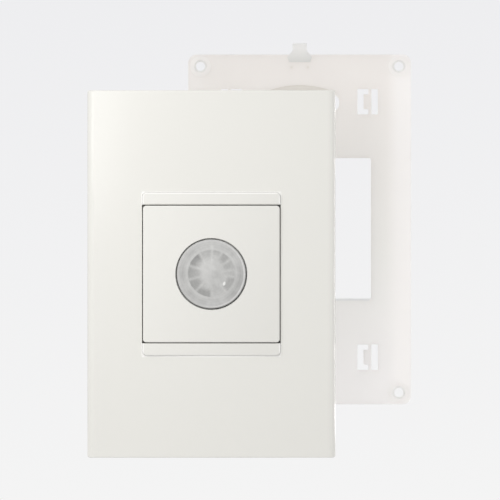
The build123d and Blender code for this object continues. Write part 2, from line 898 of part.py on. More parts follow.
def make_trimmer_body(side):
    front = sensor_board_front - trimmer_height
    outline = RectangleRounded(trimmer_side, trimmer_side, trimmer_corner_radius)
    x = side * trimmer_reach_x
    body = plate(outline, front, sensor_board_front, x, trimmer_z)
    body -= post(rotor_radius + running_gap, x, trimmer_z, front - overrun, front + rotor_bore_depth)
    return body


def make_trimmer_rotor(side):
    back = sensor_board_front - trimmer_height + rotor_bore_depth - seat_gap
    front = back - rotor_height
    x = side * trimmer_reach_x
    rotor = post(rotor_radius, x, trimmer_z, front, back)
    slot_back = front + rotor_slot_depth
    half = rotor_slot_length / 2
    rotor -= block(x - half, x + half, front - overrun, slot_back,
                   trimmer_z - rotor_slot_width / 2, trimmer_z + rotor_slot_width / 2)
    rotor -= block(x - rotor_slot_width / 2, x + rotor_slot_width / 2, front - overrun, slot_back,
                   trimmer_z, trimmer_z + half)
    return rotor


# Parts between the boards

def make_controller_chip():
    front = sensor_board_back
    half_height = chip_height / 2
    chip = block(-chip_width / 2, chip_width / 2, front, front + chip_thickness,
                 chip_z - half_height, chip_z + half_height)
    first = -(chip_leg_count - 1) / 2 * chip_leg_pitch
    for i in range(chip_leg_count):
        x = first + i * chip_leg_pitch
        chip += block(
            x - chip_leg_width / 2,
            x + chip_leg_width / 2,
            front,
            front + chip_leg_thickness,
            chip_z - half_height - chip_leg_length,
            chip_z + half_height + chip_leg_length,
        )
    return chip


def header_pin_places():
    """The X places of the pins between the boards."""
    first = -(header_pin_count - 1) / 2 * header_pitch
    return [first + i * header_pitch for i in range(header_pin_count)]


def header_pin(x, grow):
    """One square pin, made longer by grow at both ends."""
    half = header_pin_side / 2
    return block(x - half, x + half, sensor_board_back - grow, power_board_depth + grow,
                 header_z - half, header_z + half)


def make_header_strip():
    half_length = header_pin_count * header_pitch / 2
    half = header_strip_side / 2
    strip = block(-half_length, half_length, sensor_board_back,
                  sensor_board_back + header_strip_side, header_z - half, header_z + half)
    for x in header_pin_places():
        strip -= header_pin(x, overrun)
    return strip


def make_header_pins():
    return Compound(children=[header_pin(x, 0) for x in header_pin_places()])


# Power parts

def make_relay():
    outline = RectangleRounded(relay_width, relay_height, relay_corner_radius)
    case = plate(outline, power_board_back, power_board_back + relay_depth, 0, relay_z)
    return fillet(case.faces().sort_by(Axis.Y)[-1].edges(), relay_corner_radius / 2)


def make_dropper_capacitor():
    outline = RectangleRounded(
        film_capacitor_width, film_capacitor_height, film_capacitor_corner_radius
    )
    back = power_board_back + film_capacitor_depth
    case = plate(outline, power_board_back, back, film_capacitor_x, film_capacitor_z)
    return fillet(case.faces().sort_by(Axis.Y)[-1].edges(), film_capacitor_corner_radius / 2)


def make_storage_capacitor():
    x, z = storage_capacitor_x, storage_capacitor_z
    back = power_board_back + storage_capacitor_depth
    can = post(storage_capacitor_radius, x, z, power_board_back, back)
    can = fillet(can.edges().sort_by(Axis.Y)[-1], storage_capacitor_round)
    for turn in (0, 90):
        vent = block(
            -storage_capacitor_radius / 2,
            storage_capacitor_radius / 2,
            back - storage_capacitor_vent_depth,
            back + overrun,
            -storage_capacitor_vent_width / 2,
            storage_capacitor_vent_width / 2,
        )
        can -= Pos(x, 0, z) * Rot(0, turn, 0) * vent
    return can


def make_varistor():
    centre_y = power_board_back + varistor_stand + varistor_radius
    disc = Rot(0, 90, 0) * Cylinder(varistor_radius, varistor_thickness)
    disc = fillet(disc.edges().filter_by(GeomType.CIRCLE), varistor_round)
    disc = Pos(varistor_x, centre_y, varistor_z) * disc
    for side in (-1, 1):
        z = varistor_z + side * varistor_leg_reach
        disc += post(varistor_leg_radius, varistor_x, z, power_board_back, centre_y)
    return disc


def make_fusible_resistor():
    y = power_board_back + resistor_stand + resistor_radius
    body = Pos(resistor_x, y, resistor_z) * Rot(0, 90, 0) * Cylinder(resistor_radius, resistor_length)
    reach = resistor_length / 2 + resistor_leg_length
    wire = Pos(resistor_x, y, resistor_z) * Rot(0, 90, 0) * Cylinder(resistor_leg_radius, 2 * reach)
    body += wire
    for side in (-1, 1):
        x = resistor_x + side * reach
        body += post(resistor_leg_radius, x, resistor_z, power_board_back, y)
        body += Pos(x, y, resistor_z) * Sphere(resistor_leg_radius)
    return body


def make_bridge_rectifier():
    back = power_board_depth - rectifier_stand
    front = back - rectifier_depth
    case = block(
        rectifier_x - rectifier_width / 2,
        rectifier_x + rectifier_width / 2,
        front,
        back,
        -rectifier_height / 2,
        rectifier_height / 2,
    )
    for x, z in four_corners(rectifier_leg_reach_x, rectifier_leg_reach_z):
        leg_front = front + rectifier_depth / 2
        case += post(rectifier_leg_radius, rectifier_x + x, z, leg_front, power_board_depth)
    return case


# Terminals

def make_terminal_contacts():
    contacts = []
    for x in terminal_places():
        half = contact_width / 2
        bar = block(x - half, x + half, contact_front, contact_back, contact_end_z, contact_leg_z)
        leg_back = contact_leg_z + contact_thickness
        bar += block(x - half, x + half, power_board_back, contact_back, contact_leg_z, leg_back)
        contacts.append(bar)
    return Compound(children=contacts)


def make_terminal_cage(x):
    half_room = cage_half_width - cage_side_wall
    z0 = terminal_z - cage_half_length
    z1 = terminal_z + cage_half_length
    cage = block(x - cage_half_width, x + cage_half_width, cage_front, cage_back, z0, z1)
    room_back = cage_back - cage_thread_wall
    cage -= block(x - half_room, x + half_room, cage_room_front, room_back, z0 - overrun, z1 + overrun)
    cage -= post(terminal_screw_radius + running_gap, x, terminal_z,
                 room_back - overrun, cage_back + overrun)
    return cage


def make_terminal_screw(x):
    tip = contact_back + seat_gap
    screw = post(terminal_screw_radius, x, terminal_z, tip, terminal_head_front)
    screw += post(terminal_screw_head_radius, x, terminal_z, terminal_head_front, terminal_head_back)
    reach = terminal_screw_head_radius + overrun
    screw -= block(
        x - reach,
        x + reach,
        terminal_head_back - terminal_slot_depth,
        terminal_head_back + overrun,
        terminal_z - terminal_slot_width / 2,
        terminal_z + terminal_slot_width / 2,
    )
    return screw


# Loose back plate, drawn about its own centre

def arched_outline(half_width, top, radius):
    """Outline with a flat foot, round ends and an arched top."""
    low = screw_hole_reach - arch_low_drop
    circle = Pos(0, top - radius) * Circle(radius)
    band = Pos(0, (low + top + overrun) / 2) * Rectangle(2 * half_width, top + overrun - low)
    outline = circle & band
    side_height = top - low - radius + math.sqrt(radius**2 - half_width**2)
    return fillet(outline.vertices(), arch_corner_share * side_height)


def arched_opening():
    """Opening for the upper box screw, with a ledge behind the plate's front."""
    top = screw_hole_reach + arch_rise
    front = back_plate_front - overrun
    wide = arched_outline(arch_half_width, top, arch_radius)
    narrow = arched_outline(arch_half_width - arch_ledge_end_width, top - arch_ledge_drop, arch_inner_radius)
    opening = plate(wide, front, back_plate_front + arch_ledge_depth)
    return opening + plate(narrow, front, back_plate_back + overrun)


def window_sill():
    """Ledge along the foot of the window, behind the plate's front."""
    half = back_plate_window_side / 2
    front = back_plate_front + window_sill_depth
    reach = half + back_plate_window_round
    return block(-reach, reach, front, back_plate_back, -reach, window_sill_height - half)


def clip_openings(sign_x, sign_z):
    """C-shaped opening round a tongue, and the slot beside it that lets the tongue bend."""
    inner = clip_reach_x - clip_bar_width / 2
    bar_end = inner + clip_bar_width
    arm_end = bar_end + clip_arm_length
    half = clip_opening_height / 2
    opening = block(inner, bar_end, back_plate_front - overrun, back_plate_back + overrun, -half, half)
    for end in (-1, 1):
        z0, z1 = sorted((end * half, end * (half - clip_arm_height)))
        opening += block(inner, arm_end, back_plate_front - overrun, back_plate_back + overrun, z0, z1)
    slot_start = arm_end + clip_strip_width
    opening += block(
        slot_start,
        slot_start + clip_side_slot_width,
        back_plate_front - overrun,
        back_plate_back + overrun,
        -half,
        half,
    )
    if sign_x < 0:
        opening = mirror(opening, Plane.YZ)
    return Pos(0, 0, sign_z * clip_reach_z) * opening


def back_plate_lug():
    """Catch in the middle of the top edge: a stem that flares out onto the plate."""
    edge = back_plate_height / 2
    flare_top = edge + lug_stem_height - lug_flare_height
    flare_low = edge - lug_base_height / 2
    base_low = flare_low - lug_base_height
    outline = Polyline(
        (-lug_stem_width / 2, edge + lug_stem_height),
        (lug_stem_width / 2, edge + lug_stem_height),
        (lug_stem_width / 2, flare_top),
        (lug_flare_width / 2, flare_low),
        (lug_base_width / 2, base_low),
        (-lug_base_width / 2, base_low),
        (-lug_flare_width / 2, flare_low),
        (-lug_stem_width / 2, flare_top),
        close=True,
    )
    front = back_plate_back - lug_thickness
    lug = plate(make_face(outline), front, back_plate_back)
    top = edge + lug_stem_height
    lug -= block(-lug_stem_width, lug_stem_width, front - overrun, front + lug_cap_step,
                 top - lug_cap_height, top + overrun)
    return lug


def corner_boss(x, z):
    """Raised ring about a countersunk hole."""
    return post(corner_boss_radius, x, z, back_plate_front - corner_boss_rise, back_plate_front)


def corner_boss_hole(x, z):
    """Countersunk hole through a corner boss."""
    front = back_plate_front - corner_boss_rise
    hole = post(corner_boss_hole_radius, x, z, front - overrun, back_plate_back + overrun)
    sink = Cone(corner_boss_hole_radius, corner_boss_sink_radius, corner_boss_sink_depth)
    sink_place = Pos(x, front + corner_boss_sink_depth / 2, z) * Rot(90, 0, 0)
    return hole + sink_place * sink


def make_back_plate():
    outline = RectangleRounded(back_plate_width, back_plate_height, back_plate_corner_radius)
    sheet = plate(outline, back_plate_front, back_plate_back)
    border_inner = back_plate_width / 2 - back_plate_border_width
    border_front = back_plate_front + back_plate_border_thickness
    half_height = back_plate_height / 2 + overrun
    for side in (-1, 1):
        x0, x1 = sorted((side * border_inner, side * (back_plate_width / 2 + overrun)))
        sheet -= block(x0, x1, border_front, back_plate_back + overrun, -half_height, half_height)
    sheet += back_plate_lug()
    for x, z in four_corners(corner_boss_reach_x, corner_boss_reach_z):
        sheet += corner_boss(x, z)
        sheet -= corner_boss_hole(x, z)
    front, back = back_plate_front - overrun, back_plate_back + overrun
    window = RectangleRounded(back_plate_window_side, back_plate_window_side, back_plate_window_round)
    sheet -= plate(window, front, back)
    sheet += window_sill()
    sheet -= arched_opening()
    lower = SlotOverall(lower_slot_length, lower_slot_width)
    sheet -= plate(lower, front, back, 0, -screw_hole_reach)
    for sx, sz in four_corners(1, 1):
        sheet -= clip_openings(sx, sz)
    recess_top = back_plate_height / 2 - lug_recess_drop
    recess_low = recess_top - lug_recess_height
    sheet -= block(
        -lug_recess_width / 2,
        lug_recess_width / 2,
        back_plate_front - overrun,
        back_plate_front + lug_recess_depth,
        recess_low,
        recess_top,
    )
    for side in (-1, 1):
        sheet -= post(lug_pin_mark_radius, side * lug_pin_mark_reach,
                      (recess_low + recess_top) / 2, front, back_plate_front + lug_pin_mark_depth)
    return Pos(back_plate_x, 0, back_plate_z) * sheet


# Every piece under its own name
pieces = {
    "cover_plate": make_cover_plate(),
    "support_frame": make_support_frame(),
    "face_plate": make_face_plate(),
    "module_housing": make_module_housing(),
    "rear_base": make_rear_base(),
    "housing_screws": make_housing_screws(),
    "fresnel_lens": make_fresnel_lens(),
    "lens_retainer": make_lens_retainer(),
    "sensor_board": make_sensor_board(),
    "power_board": make_power_board(),
    "pir_sensor_can": make_pir_sensor_can(),
    "pir_window": make_pir_window(),
    "indicator_led": make_indicator_led(),
    "light_sensor": make_light_sensor(),
    "time_trimmer_body": make_trimmer_body(-1),
    "time_trimmer_rotor": make_trimmer_rotor(-1),
    "lux_trimmer_body": make_trimmer_body(1),
    "lux_trimmer_rotor": make_trimmer_rotor(1),
    "controller_chip": make_controller_chip(),
    "header_strip": make_header_strip(),
    "header_pins": make_header_pins(),
    "relay": make_relay(),
    "dropper_capacitor": make_dropper_capacitor(),
    "storage_capacitor": make_storage_capacitor(),
    "varistor": make_varistor(),
    "fusible_resistor": make_fusible_resistor(),
    "bridge_rectifier": make_bridge_rectifier(),
    "terminal_contacts": make_terminal_contacts(),
    "back_plate": make_back_plate(),
}
for number, place in enumerate(terminal_places(), start=1):
    pieces[f"terminal_cage_{number}"] = make_terminal_cage(place)
    pieces[f"terminal_screw_{number}"] = make_terminal_screw(place)

os.makedirs("parts", exist_ok=True)
for name, shape in pieces.items():
    export_step(shape, f"parts/{name}.step")
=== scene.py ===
import math
from collections import namedtuple

import bmesh
import bpy
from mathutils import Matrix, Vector, noise


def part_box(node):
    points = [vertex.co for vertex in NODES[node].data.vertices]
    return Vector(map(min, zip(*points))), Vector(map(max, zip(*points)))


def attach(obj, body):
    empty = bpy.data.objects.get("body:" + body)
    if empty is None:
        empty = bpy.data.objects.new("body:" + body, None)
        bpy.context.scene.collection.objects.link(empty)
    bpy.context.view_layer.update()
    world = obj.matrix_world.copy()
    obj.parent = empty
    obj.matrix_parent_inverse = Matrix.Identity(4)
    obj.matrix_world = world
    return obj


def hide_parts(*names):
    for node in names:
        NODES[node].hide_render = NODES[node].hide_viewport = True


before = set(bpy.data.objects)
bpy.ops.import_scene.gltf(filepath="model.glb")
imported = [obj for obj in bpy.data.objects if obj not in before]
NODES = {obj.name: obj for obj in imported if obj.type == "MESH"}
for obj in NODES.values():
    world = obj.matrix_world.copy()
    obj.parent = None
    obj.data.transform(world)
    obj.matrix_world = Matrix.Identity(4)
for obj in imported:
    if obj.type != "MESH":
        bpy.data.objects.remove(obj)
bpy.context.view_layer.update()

MM = 0.001


# Node helpers

COLOUR_A, COLOUR_B, COLOUR_RESULT = 6, 7, 2


def wire(tree, node, inputs):
    """Feeds a node's inputs, each with a number, a vector, a colour or another node's result."""
    for name, value in inputs.items():
        socket = node.inputs[name]
        if isinstance(value, bpy.types.NodeSocket):
            tree.links.new(value, socket)
        else:
            socket.default_value = (*value, 1) if socket.type == "RGBA" else value


def add_node(tree, kind, inputs, **settings):
    """New node of a kind, with its settings and its inputs."""
    node = tree.nodes.new(kind)
    for name, value in settings.items():
        setattr(node, name, value)
    wire(tree, node, inputs)
    return node


def new_material(name):
    """Material with an empty node tree, and its surface shader."""
    mat = bpy.data.materials.new(name)
    mat.use_nodes = True
    tree = mat.node_tree
    tree.nodes.clear()
    shader = add_node(tree, "ShaderNodeBsdfPrincipled", {})
    add_node(tree, "ShaderNodeOutputMaterial", {"Surface": shader.outputs["BSDF"]})
    return mat, tree, shader


def object_place(tree, stretch=(1, 1, 1)):
    """Object coordinates, stretched by a factor along each axis."""
    coord = add_node(tree, "ShaderNodeTexCoord", {})
    mapping = add_node(tree, "ShaderNodeMapping", {"Vector": coord.outputs["Object"], "Scale": stretch})
    return mapping.outputs["Vector"]


def axes(tree, place):
    """X, Y and Z of a place."""
    split = add_node(tree, "ShaderNodeSeparateXYZ", {"Vector": place})
    return [split.outputs[name] for name in "XYZ"]


def noise_value(tree, place, scale, detail):
    """Noise from nought to one at a place."""
    node = add_node(tree, "ShaderNodeTexNoise", {"Vector": place, "Scale": scale, "Detail": detail})
    return node.outputs["Fac"]


def map_range(tree, value, low, high, to_low=0.0, to_high=1.0):
    """A value's way from one limit to the other, spread over a new range and held at its ends."""
    limits = {"From Min": low, "From Max": high, "To Min": to_low, "To Max": to_high}
    return add_node(tree, "ShaderNodeMapRange", {"Value": value, **limits}).outputs["Result"]


def math_node(tree, operation, *values):
    """Result of a sum on one or two values, each a socket or a number."""
    node = add_node(tree, "ShaderNodeMath", dict(enumerate(values)), operation=operation)
    return node.outputs["Value"]


def times(tree, first, *others):
    """Product of several values."""
    for value in others:
        first = math_node(tree, "MULTIPLY", first, value)
    return first


def less(tree, first, second):
    """First value less the second."""
    return math_node(tree, "SUBTRACT", first, second)


def size_of(tree, value):
    """A value without its sign."""
    return math_node(tree, "ABSOLUTE", value)


def distance(tree, across, along):
    """Length of a step that goes across and along by two values."""
    square = math_node(tree, "ADD", times(tree, across, across), times(tree, along, along))
    return math_node(tree, "SQRT", square)


def above(tree, value, limit, soft):
    """One where a value lies above a limit and nought below it, with a soft step."""
    return map_range(tree, value, limit - soft, limit + soft)


def below(tree, value, limit, soft):
    """One where a value lies below a limit and nought above it, with a soft step."""
    return map_range(tree, value, limit - soft, limit + soft, 1.0, 0.0)


def between(tree, value, low, high, soft):
    """One where a value lies between two limits and nought elsewhere, with soft ends."""
    return times(tree, above(tree, value, low, soft), below(tree, value, high, soft))


def mix_colours(tree, factor, first, second):
    """Two colours mixed by a factor. Each colour is a triple or a socket."""
    inputs = {"Factor": factor, COLOUR_A: first, COLOUR_B: second}
    return add_node(tree, "ShaderNodeMix", inputs, data_type="RGBA").outputs[COLOUR_RESULT]


def mix_shaders(tree, factor, first, second):
    """Two shaders mixed by a factor, as what the tree's output shows."""
    mix = add_node(tree, "ShaderNodeMixShader", {"Fac": factor, 1: first, 2: second})
    wire(tree, tree.get_output_node("ALL"), {"Surface": mix.outputs["Shader"]})


def add_bump(tree, shader, height, strength, depth):
    """Faint relief of a surface, from a height and the depth in millimetres that it spans."""
    bump = add_node(tree, "ShaderNodeBump", {"Height": height, "Strength": strength, "Distance": depth * MM})
    wire(tree, shader, {"Normal": bump.outputs["Normal"]})


def toned(colour, factor):
    """A colour made lighter or darker by a factor."""
    return tuple(min(1.0, c * factor) for c in colour)


# Plastics, with each grain's depth in millimetres

NOISE_BAND = (0.2, 0.8)
SLOW_DETAIL = 2.0
FINE_DETAIL = 3.0
CLOUD_SCALE = 28.0
SKIN_SCALE = 1900.0
SKIN_GLOSSIER = 0.04
SKIN_DULLER = 0.05
SKIN_STRENGTH = 0.25
PLASTIC_IOR = 1.49
COAT_ROUGHNESS = 0.12
LIGHTER_SHARE = 0.4
# Slope and reach of the painted shade towards the right and the foot
PAINTED_SHADE_SLOPE = 0.4
PAINTED_SHADE_REACH = 28 * MM
BAR_FRONT = -9.3 * MM
BAR_WIDTH = 4.05 * MM
SEAM_REACH = 0.4 * MM
SEAM_FOOT = 0.6 * MM
SEAM_SOFT = 0.1 * MM
IVORY = (0.86, 0.853, 0.815)
IVORY_SATIN = (0.884, 0.877, 0.84)
# Paler colour painted along the bars' join with the cover's window, as painted light over its shade
SEAM_LIGHT = (0.99, 0.985, 0.965)

PLASTICS = {
    # Both ivory finishes: painted light along the bars' join with the cover's window
    "ivory_gloss": dict(colour=IVORY, roughness=0.2, grain=0.003, coat=0.25, drift=0.012, seam_light=SEAM_LIGHT),
    # ivory_satin: painted shade towards its right and its foot
    "ivory_satin": dict(colour=IVORY_SATIN, roughness=0.4, grain=0.006, drift=0.012, painted_shade=0.09, seam_light=SEAM_LIGHT),
    "white_plastic": dict(colour=(0.8, 0.8, 0.785), roughness=0.48, grain=0.008),
    "grey_plastic": dict(colour=(0.36, 0.37, 0.38), roughness=0.5, grain=0.012, drift=0.06),
    "photocell": dict(colour=(0.5, 0.17, 0.05), roughness=0.22, grain=0.01, coat=0.5, drift=0.25),
    "chip_black": dict(colour=(0.025, 0.025, 0.028), roughness=0.5, grain=0.02, drift=0.2),
    "header_plastic": dict(colour=(0.02, 0.02, 0.023), roughness=0.45, grain=0.015, drift=0.2),
    "relay_case": dict(colour=(0.03, 0.06, 0.14), roughness=0.28, grain=0.01, coat=0.3, drift=0.15),
    "film_case": dict(colour=(0.62, 0.42, 0.06), roughness=0.32, grain=0.01, coat=0.2, drift=0.08),
    "sleeve": dict(colour=(0.015, 0.017, 0.03), roughness=0.25, grain=0.01, coat=0.4, drift=0.2),
    "varistor_coat": dict(colour=(0.02, 0.09, 0.3), roughness=0.25, grain=0.03, coat=0.6, drift=0.2),
    "resistor_coat": dict(colour=(0.42, 0.46, 0.38), roughness=0.6, grain=0.02, drift=0.12),
    "trimmer_case": dict(colour=(0.02, 0.08, 0.28), roughness=0.4, grain=0.01, drift=0.1),
    "rotor_plastic": dict(colour=(0.78, 0.74, 0.62), roughness=0.4, grain=0.01, drift=0.05),
}


def add_skin(tree, shader, place, roughness, grain):
    """Fine grain of a moulded skin, in its gloss and as a faint relief."""
    fine = noise_value(tree, place, SKIN_SCALE, FINE_DETAIL)
    gloss = map_range(tree, fine, *NOISE_BAND, roughness - SKIN_GLOSSIER, roughness + SKIN_DULLER)
    wire(tree, shader, {"Roughness": gloss, "IOR": PLASTIC_IOR})
    add_bump(tree, shader, fine, SKIN_STRENGTH, grain)


def bar_ends():
    """Half width and half height of the two bars' fronts, from the frame's own mesh."""
    points = [v.co for v in NODES["support_frame"].data.vertices if v.co.y < BAR_FRONT]
    return max(abs(p.x) for p in points), max(abs(p.z) for p in points)


def seam_light_share(tree, place):
    """Where light is painted: one along the join between the bars' outer ends and the cover's window, nought
    elsewhere.
    """
    half_width, half_height = bar_ends()
    x, _, z = axes(tree, place)
    across, tall = size_of(tree, x), size_of(tree, z)
    head = between(tree, z, half_height - SEAM_REACH, half_height + SEAM_REACH, SEAM_SOFT)
    foot = between(tree, z, -half_height - SEAM_FOOT, -half_height + SEAM_SOFT, SEAM_SOFT)
    inside = below(tree, across, half_width + SEAM_REACH / 2, SEAM_REACH / 2)
    ends = times(tree, math_node(tree, "MAXIMUM", head, foot), inside)
    beside = between(tree, across, half_width - SEAM_REACH, half_width + SEAM_REACH, SEAM_SOFT)
    along_bar = between(tree, tall, half_height - BAR_WIDTH, half_height, SEAM_REACH)
    return math_node(tree, "MAXIMUM", ends, times(tree, beside, along_bar))


def moulded_plastic(name, colour, roughness, grain, coat=0.0, drift=0.03, painted_shade=0.0, seam_light=None):
    """Moulded plastic: slow drift of colour, fine grain in the gloss and a faint skin texture.

    Painted shade darkens it by a share towards its right and its foot. Painted light, a paler colour, lifts
    the shaded join between the bars' ends and the cover's window."""
    mat, tree, shader = new_material(name)
    place = object_place(tree)
    slow = noise_value(tree, place, CLOUD_SCALE, SLOW_DETAIL)
    tint = mix_colours(tree, slow, toned(colour, 1 - drift), toned(colour, 1 + drift * LIGHTER_SHARE))
    # Painted shade: the colour darkens by a share towards the right and the foot.
    if painted_shade:
        x, _, z = axes(tree, place)
        slope = less(tree, x, times(tree, z, PAINTED_SHADE_SLOPE))
        shade = map_range(tree, slope, -PAINTED_SHADE_REACH, PAINTED_SHADE_REACH)
        tint = mix_colours(tree, shade, tint, toned(colour, 1 - painted_shade))
    # Painted light: a paler colour along the join between the bars' ends and the cover's window lifts the
    # shade in that narrow gap.
    if seam_light:
        tint = mix_colours(tree, seam_light_share(tree, place), tint, seam_light)
    wire(tree, shader, {"Base Color": tint, "Coat Weight": coat, "Coat Roughness": COAT_ROUGHNESS})
    add_skin(tree, shader, place, roughness, grain)
    return mat


def add_glow(tree, shader, colour, share):
    """Lets a share of the light through a thin wall."""
    glow = add_node(tree, "ShaderNodeBsdfTranslucent", {"Color": colour})
    mix_shaders(tree, share, shader.outputs["BSDF"], glow.outputs["BSDF"])


# Milky sheet of the back plate

SHEET_THICKNESS = 1.2 * MM
SHEET_BORDER = 5.8 * MM
SHEET_SOFT = 0.06 * MM
SHEET_ROUGHNESS = 0.42
SHEET_GRAIN = 0.006
SHEET_DRIFT = 0.01
SHEET_GLOW = 0.7
TAB_RISE = 3.7 * MM
# Spans of the painted shade towards the top and the painted light towards the foot, as shares of half the
# height
TOP_SHADE_BAND = (-0.2, 0.9)
LOW_LIGHT_BAND = (-0.1, -0.8)
STRIP_SHIFT = 0.5 * MM
STRIP_SOFT = 2 * MM
LEFT_STRIP = 0.3
BOSS_RISE = 0.7 * MM
RING_BACK = 0.035 * MM
RING_SOFT = 0.015 * MM
SINK_FRONT = 0.04 * MM
SINK_BACK = 0.05 * MM
SINK_SOFT = 0.02 * MM
HOLE_INSET = (4.05 * MM, 3.9 * MM)
GROOVE_REACH = (1.6 * MM, 2.2 * MM)
GROOVE_SOFT = 0.3 * MM
CATCH_REACH = 5.5 * MM
CATCH_RISE = 0.075 * MM
CATCH_SOFT = 0.025 * MM
CATCH_FADE = (-2.2 * MM, 2.0 * MM)
MARK_LIMIT = 4.5 * MM
MARK_FLOOR = (0.5 * MM, 0.9 * MM)
MARK_FOOT = 11.5 * MM
MARK_SOFT = 0.5 * MM
MARK_REACH = 2.6 * MM
MARK_DROP = 4.2 * MM
MARK_PATCH_RADII = (1.1 * MM, 0.3 * MM)
MARK_PATCH_SHARE = 0.6
SHELF_DEPTH = (0.3 * MM, 0.7 * MM)
ARCH_REACH = 11.8 * MM
ARCH_SOFT = 0.5 * MM
ARCH_BAND = (34 * MM, 49 * MM)
SILL_REACH = 23.0 * MM
SILL_BAND = (-24 * MM, -19 * MM)

MILKY = (0.945, 0.94, 0.925)
# Painted shade, a little rosier, towards the top and painted light towards the foot
MILKY_TOP_SHADE = (0.935, 0.916, 0.902)
MILKY_LOW_LIGHT = (0.965, 0.955, 0.952)
# Painted light on the side strips and boss rings, painted shade in the boss grooves and countersinks
STRIP_LIGHT = (0.979, 0.967, 0.961)
RING_LIGHT = (0.99, 0.98, 0.97)
GROOVE_SHADE = (0.94, 0.932, 0.925)
SINK_SHADE = (0.88, 0.878, 0.872)
# Grey of the catch, with painted shade at its foot
CATCH_FOOT_SHADE = (0.82, 0.83, 0.82)
CATCH_TOP_GREY = (0.93, 0.935, 0.935)
MARK_PATCH_TINT = (0.89, 0.87, 0.85)
MARK_TINT = (0.87, 0.85, 0.82)
# Painted shade on the arch's ledge and on the window's sill
ARCH_SHADE = (0.82, 0.8, 0.765)
SILL_SHADE = (0.895, 0.905, 0.91)

# Where a place lies from the sheet's middle line, with and without its side, from its flat front
# and from its mid height, and half the sheet's size
SheetPlace = namedtuple("SheetPlace", "side away deep height half_width half_height")


def sheet_place(tree, place, node):
    """Object coordinates as places on a sheet that fills the node's box, without its tab."""
    low = [min(corner[i] for corner in node.bound_box) for i in range(3)]
    high = [max(corner[i] for corner in node.bound_box) for i in range(3)]
    top = high[2] - TAB_RISE
    x, y, z = axes(tree, place)
    side = less(tree, x, (low[0] + high[0]) / 2)
    deep = less(tree, y, high[1] - SHEET_THICKNESS)
    height = less(tree, z, (low[2] + top) / 2)
    return SheetPlace(side, size_of(tree, side), deep, height, (high[0] - low[0]) / 2, (top - low[2]) / 2)


def edge_light_and_shade(tree, at):
    """Painted light in pale strips along the sides, weaker on the left, and on the rings of the corner
    bosses, then painted shade in their grooves and countersinks.
    """
    inner = at.half_width - SHEET_BORDER
    strip = times(tree, above(tree, at.away, inner - STRIP_SHIFT, STRIP_SOFT),
                  map_range(tree, at.side, -MM, MM, LEFT_STRIP, 1.0))
    ring = below(tree, at.deep, RING_BACK - BOSS_RISE, RING_SOFT)
    reach = distance(tree, less(tree, at.away, at.half_width - HOLE_INSET[0]),
                     less(tree, size_of(tree, at.height), at.half_height - HOLE_INSET[1]))
    groove = between(tree, reach, *GROOVE_REACH, GROOVE_SOFT)
    sink = between(tree, at.deep, SINK_FRONT - BOSS_RISE, -SINK_BACK, SINK_SOFT)
    return [(strip, STRIP_LIGHT), (ring, RING_LIGHT), (groove, GROOVE_SHADE), (sink, SINK_SHADE)]


def tab_shade_and_marks(tree, at):
    """The greyer catch of the top tab, with painted shade darkening it towards its foot, and the darker
    floors of the two blind marks below it, each within a soft darker patch.
    """
    catch = times(tree, below(tree, at.away, CATCH_REACH, SHEET_SOFT),
                  below(tree, at.deep, -CATCH_RISE, CATCH_SOFT))
    # Painted shade: the catch's grey darkens towards its foot.
    step = map_range(tree, at.height, at.half_height + CATCH_FADE[0], at.half_height + CATCH_FADE[1])
    catch_grey_and_shade = mix_colours(tree, step, CATCH_FOOT_SHADE, CATCH_TOP_GREY)
    # The two marks are darker on their floors and in a soft patch round each.
    reach = distance(tree, less(tree, at.away, MARK_REACH), less(tree, at.height, at.half_height - MARK_DROP))
    mark_patch = map_range(tree, reach, *MARK_PATCH_RADII, 0.0, MARK_PATCH_SHARE)
    mark = times(tree, below(tree, at.away, MARK_LIMIT, SHEET_SOFT),
                 between(tree, at.deep, *MARK_FLOOR, SHEET_SOFT),
                 above(tree, at.height, at.half_height - MARK_FOOT, MARK_SOFT))
    return [(catch, catch_grey_and_shade), (mark_patch, MARK_PATCH_TINT), (mark, MARK_TINT)]


def shelf_shades(tree, at):
    """Painted shade on the ledge inside the arched opening and on the sill inside the window."""
    shelf = between(tree, at.deep, *SHELF_DEPTH, SHEET_SOFT)
    arch = times(tree, shelf, below(tree, at.away, ARCH_REACH, ARCH_SOFT),
                 between(tree, at.height, *ARCH_BAND, SHEET_SOFT))
    sill = times(tree, shelf, below(tree, at.away, SILL_REACH, SHEET_SOFT),
                 between(tree, at.height, *SILL_BAND, SHEET_SOFT))
    return [(arch, ARCH_SHADE), (sill, SILL_SHADE)]


def milky_sheet(name, node):
    """Thin milky sheet that lets light through, with painted light and shade, the greyer catch and the darker
    marks laid over one another.
    """
    mat, tree, shader = new_material(name)
    place = object_place(tree)
    at = sheet_place(tree, place, node)
    cloud = noise_value(tree, place, CLOUD_SCALE, SLOW_DETAIL)
    tint = mix_colours(tree, cloud, toned(MILKY, 1 - SHEET_DRIFT), MILKY)
    # Painted shade darkens the sheet towards its top; painted light makes it paler towards its foot.
    top_shade = map_range(tree, at.height, *[share * at.half_height for share in TOP_SHADE_BAND])
    pale = map_range(tree, at.height, *[share * at.half_height for share in LOW_LIGHT_BAND])
    layers = [(top_shade, MILKY_TOP_SHADE), (pale, MILKY_LOW_LIGHT)]
    for share, layer in layers + edge_light_and_shade(tree, at) + tab_shade_and_marks(tree, at) + shelf_shades(tree, at):
        tint = mix_colours(tree, share, tint, layer)
    wire(tree, shader, {"Base Color": tint})
    add_skin(tree, shader, place, SHEET_ROUGHNESS, SHEET_GRAIN)
    add_glow(tree, shader, tint, SHEET_GLOW)
    return mat


# Metals

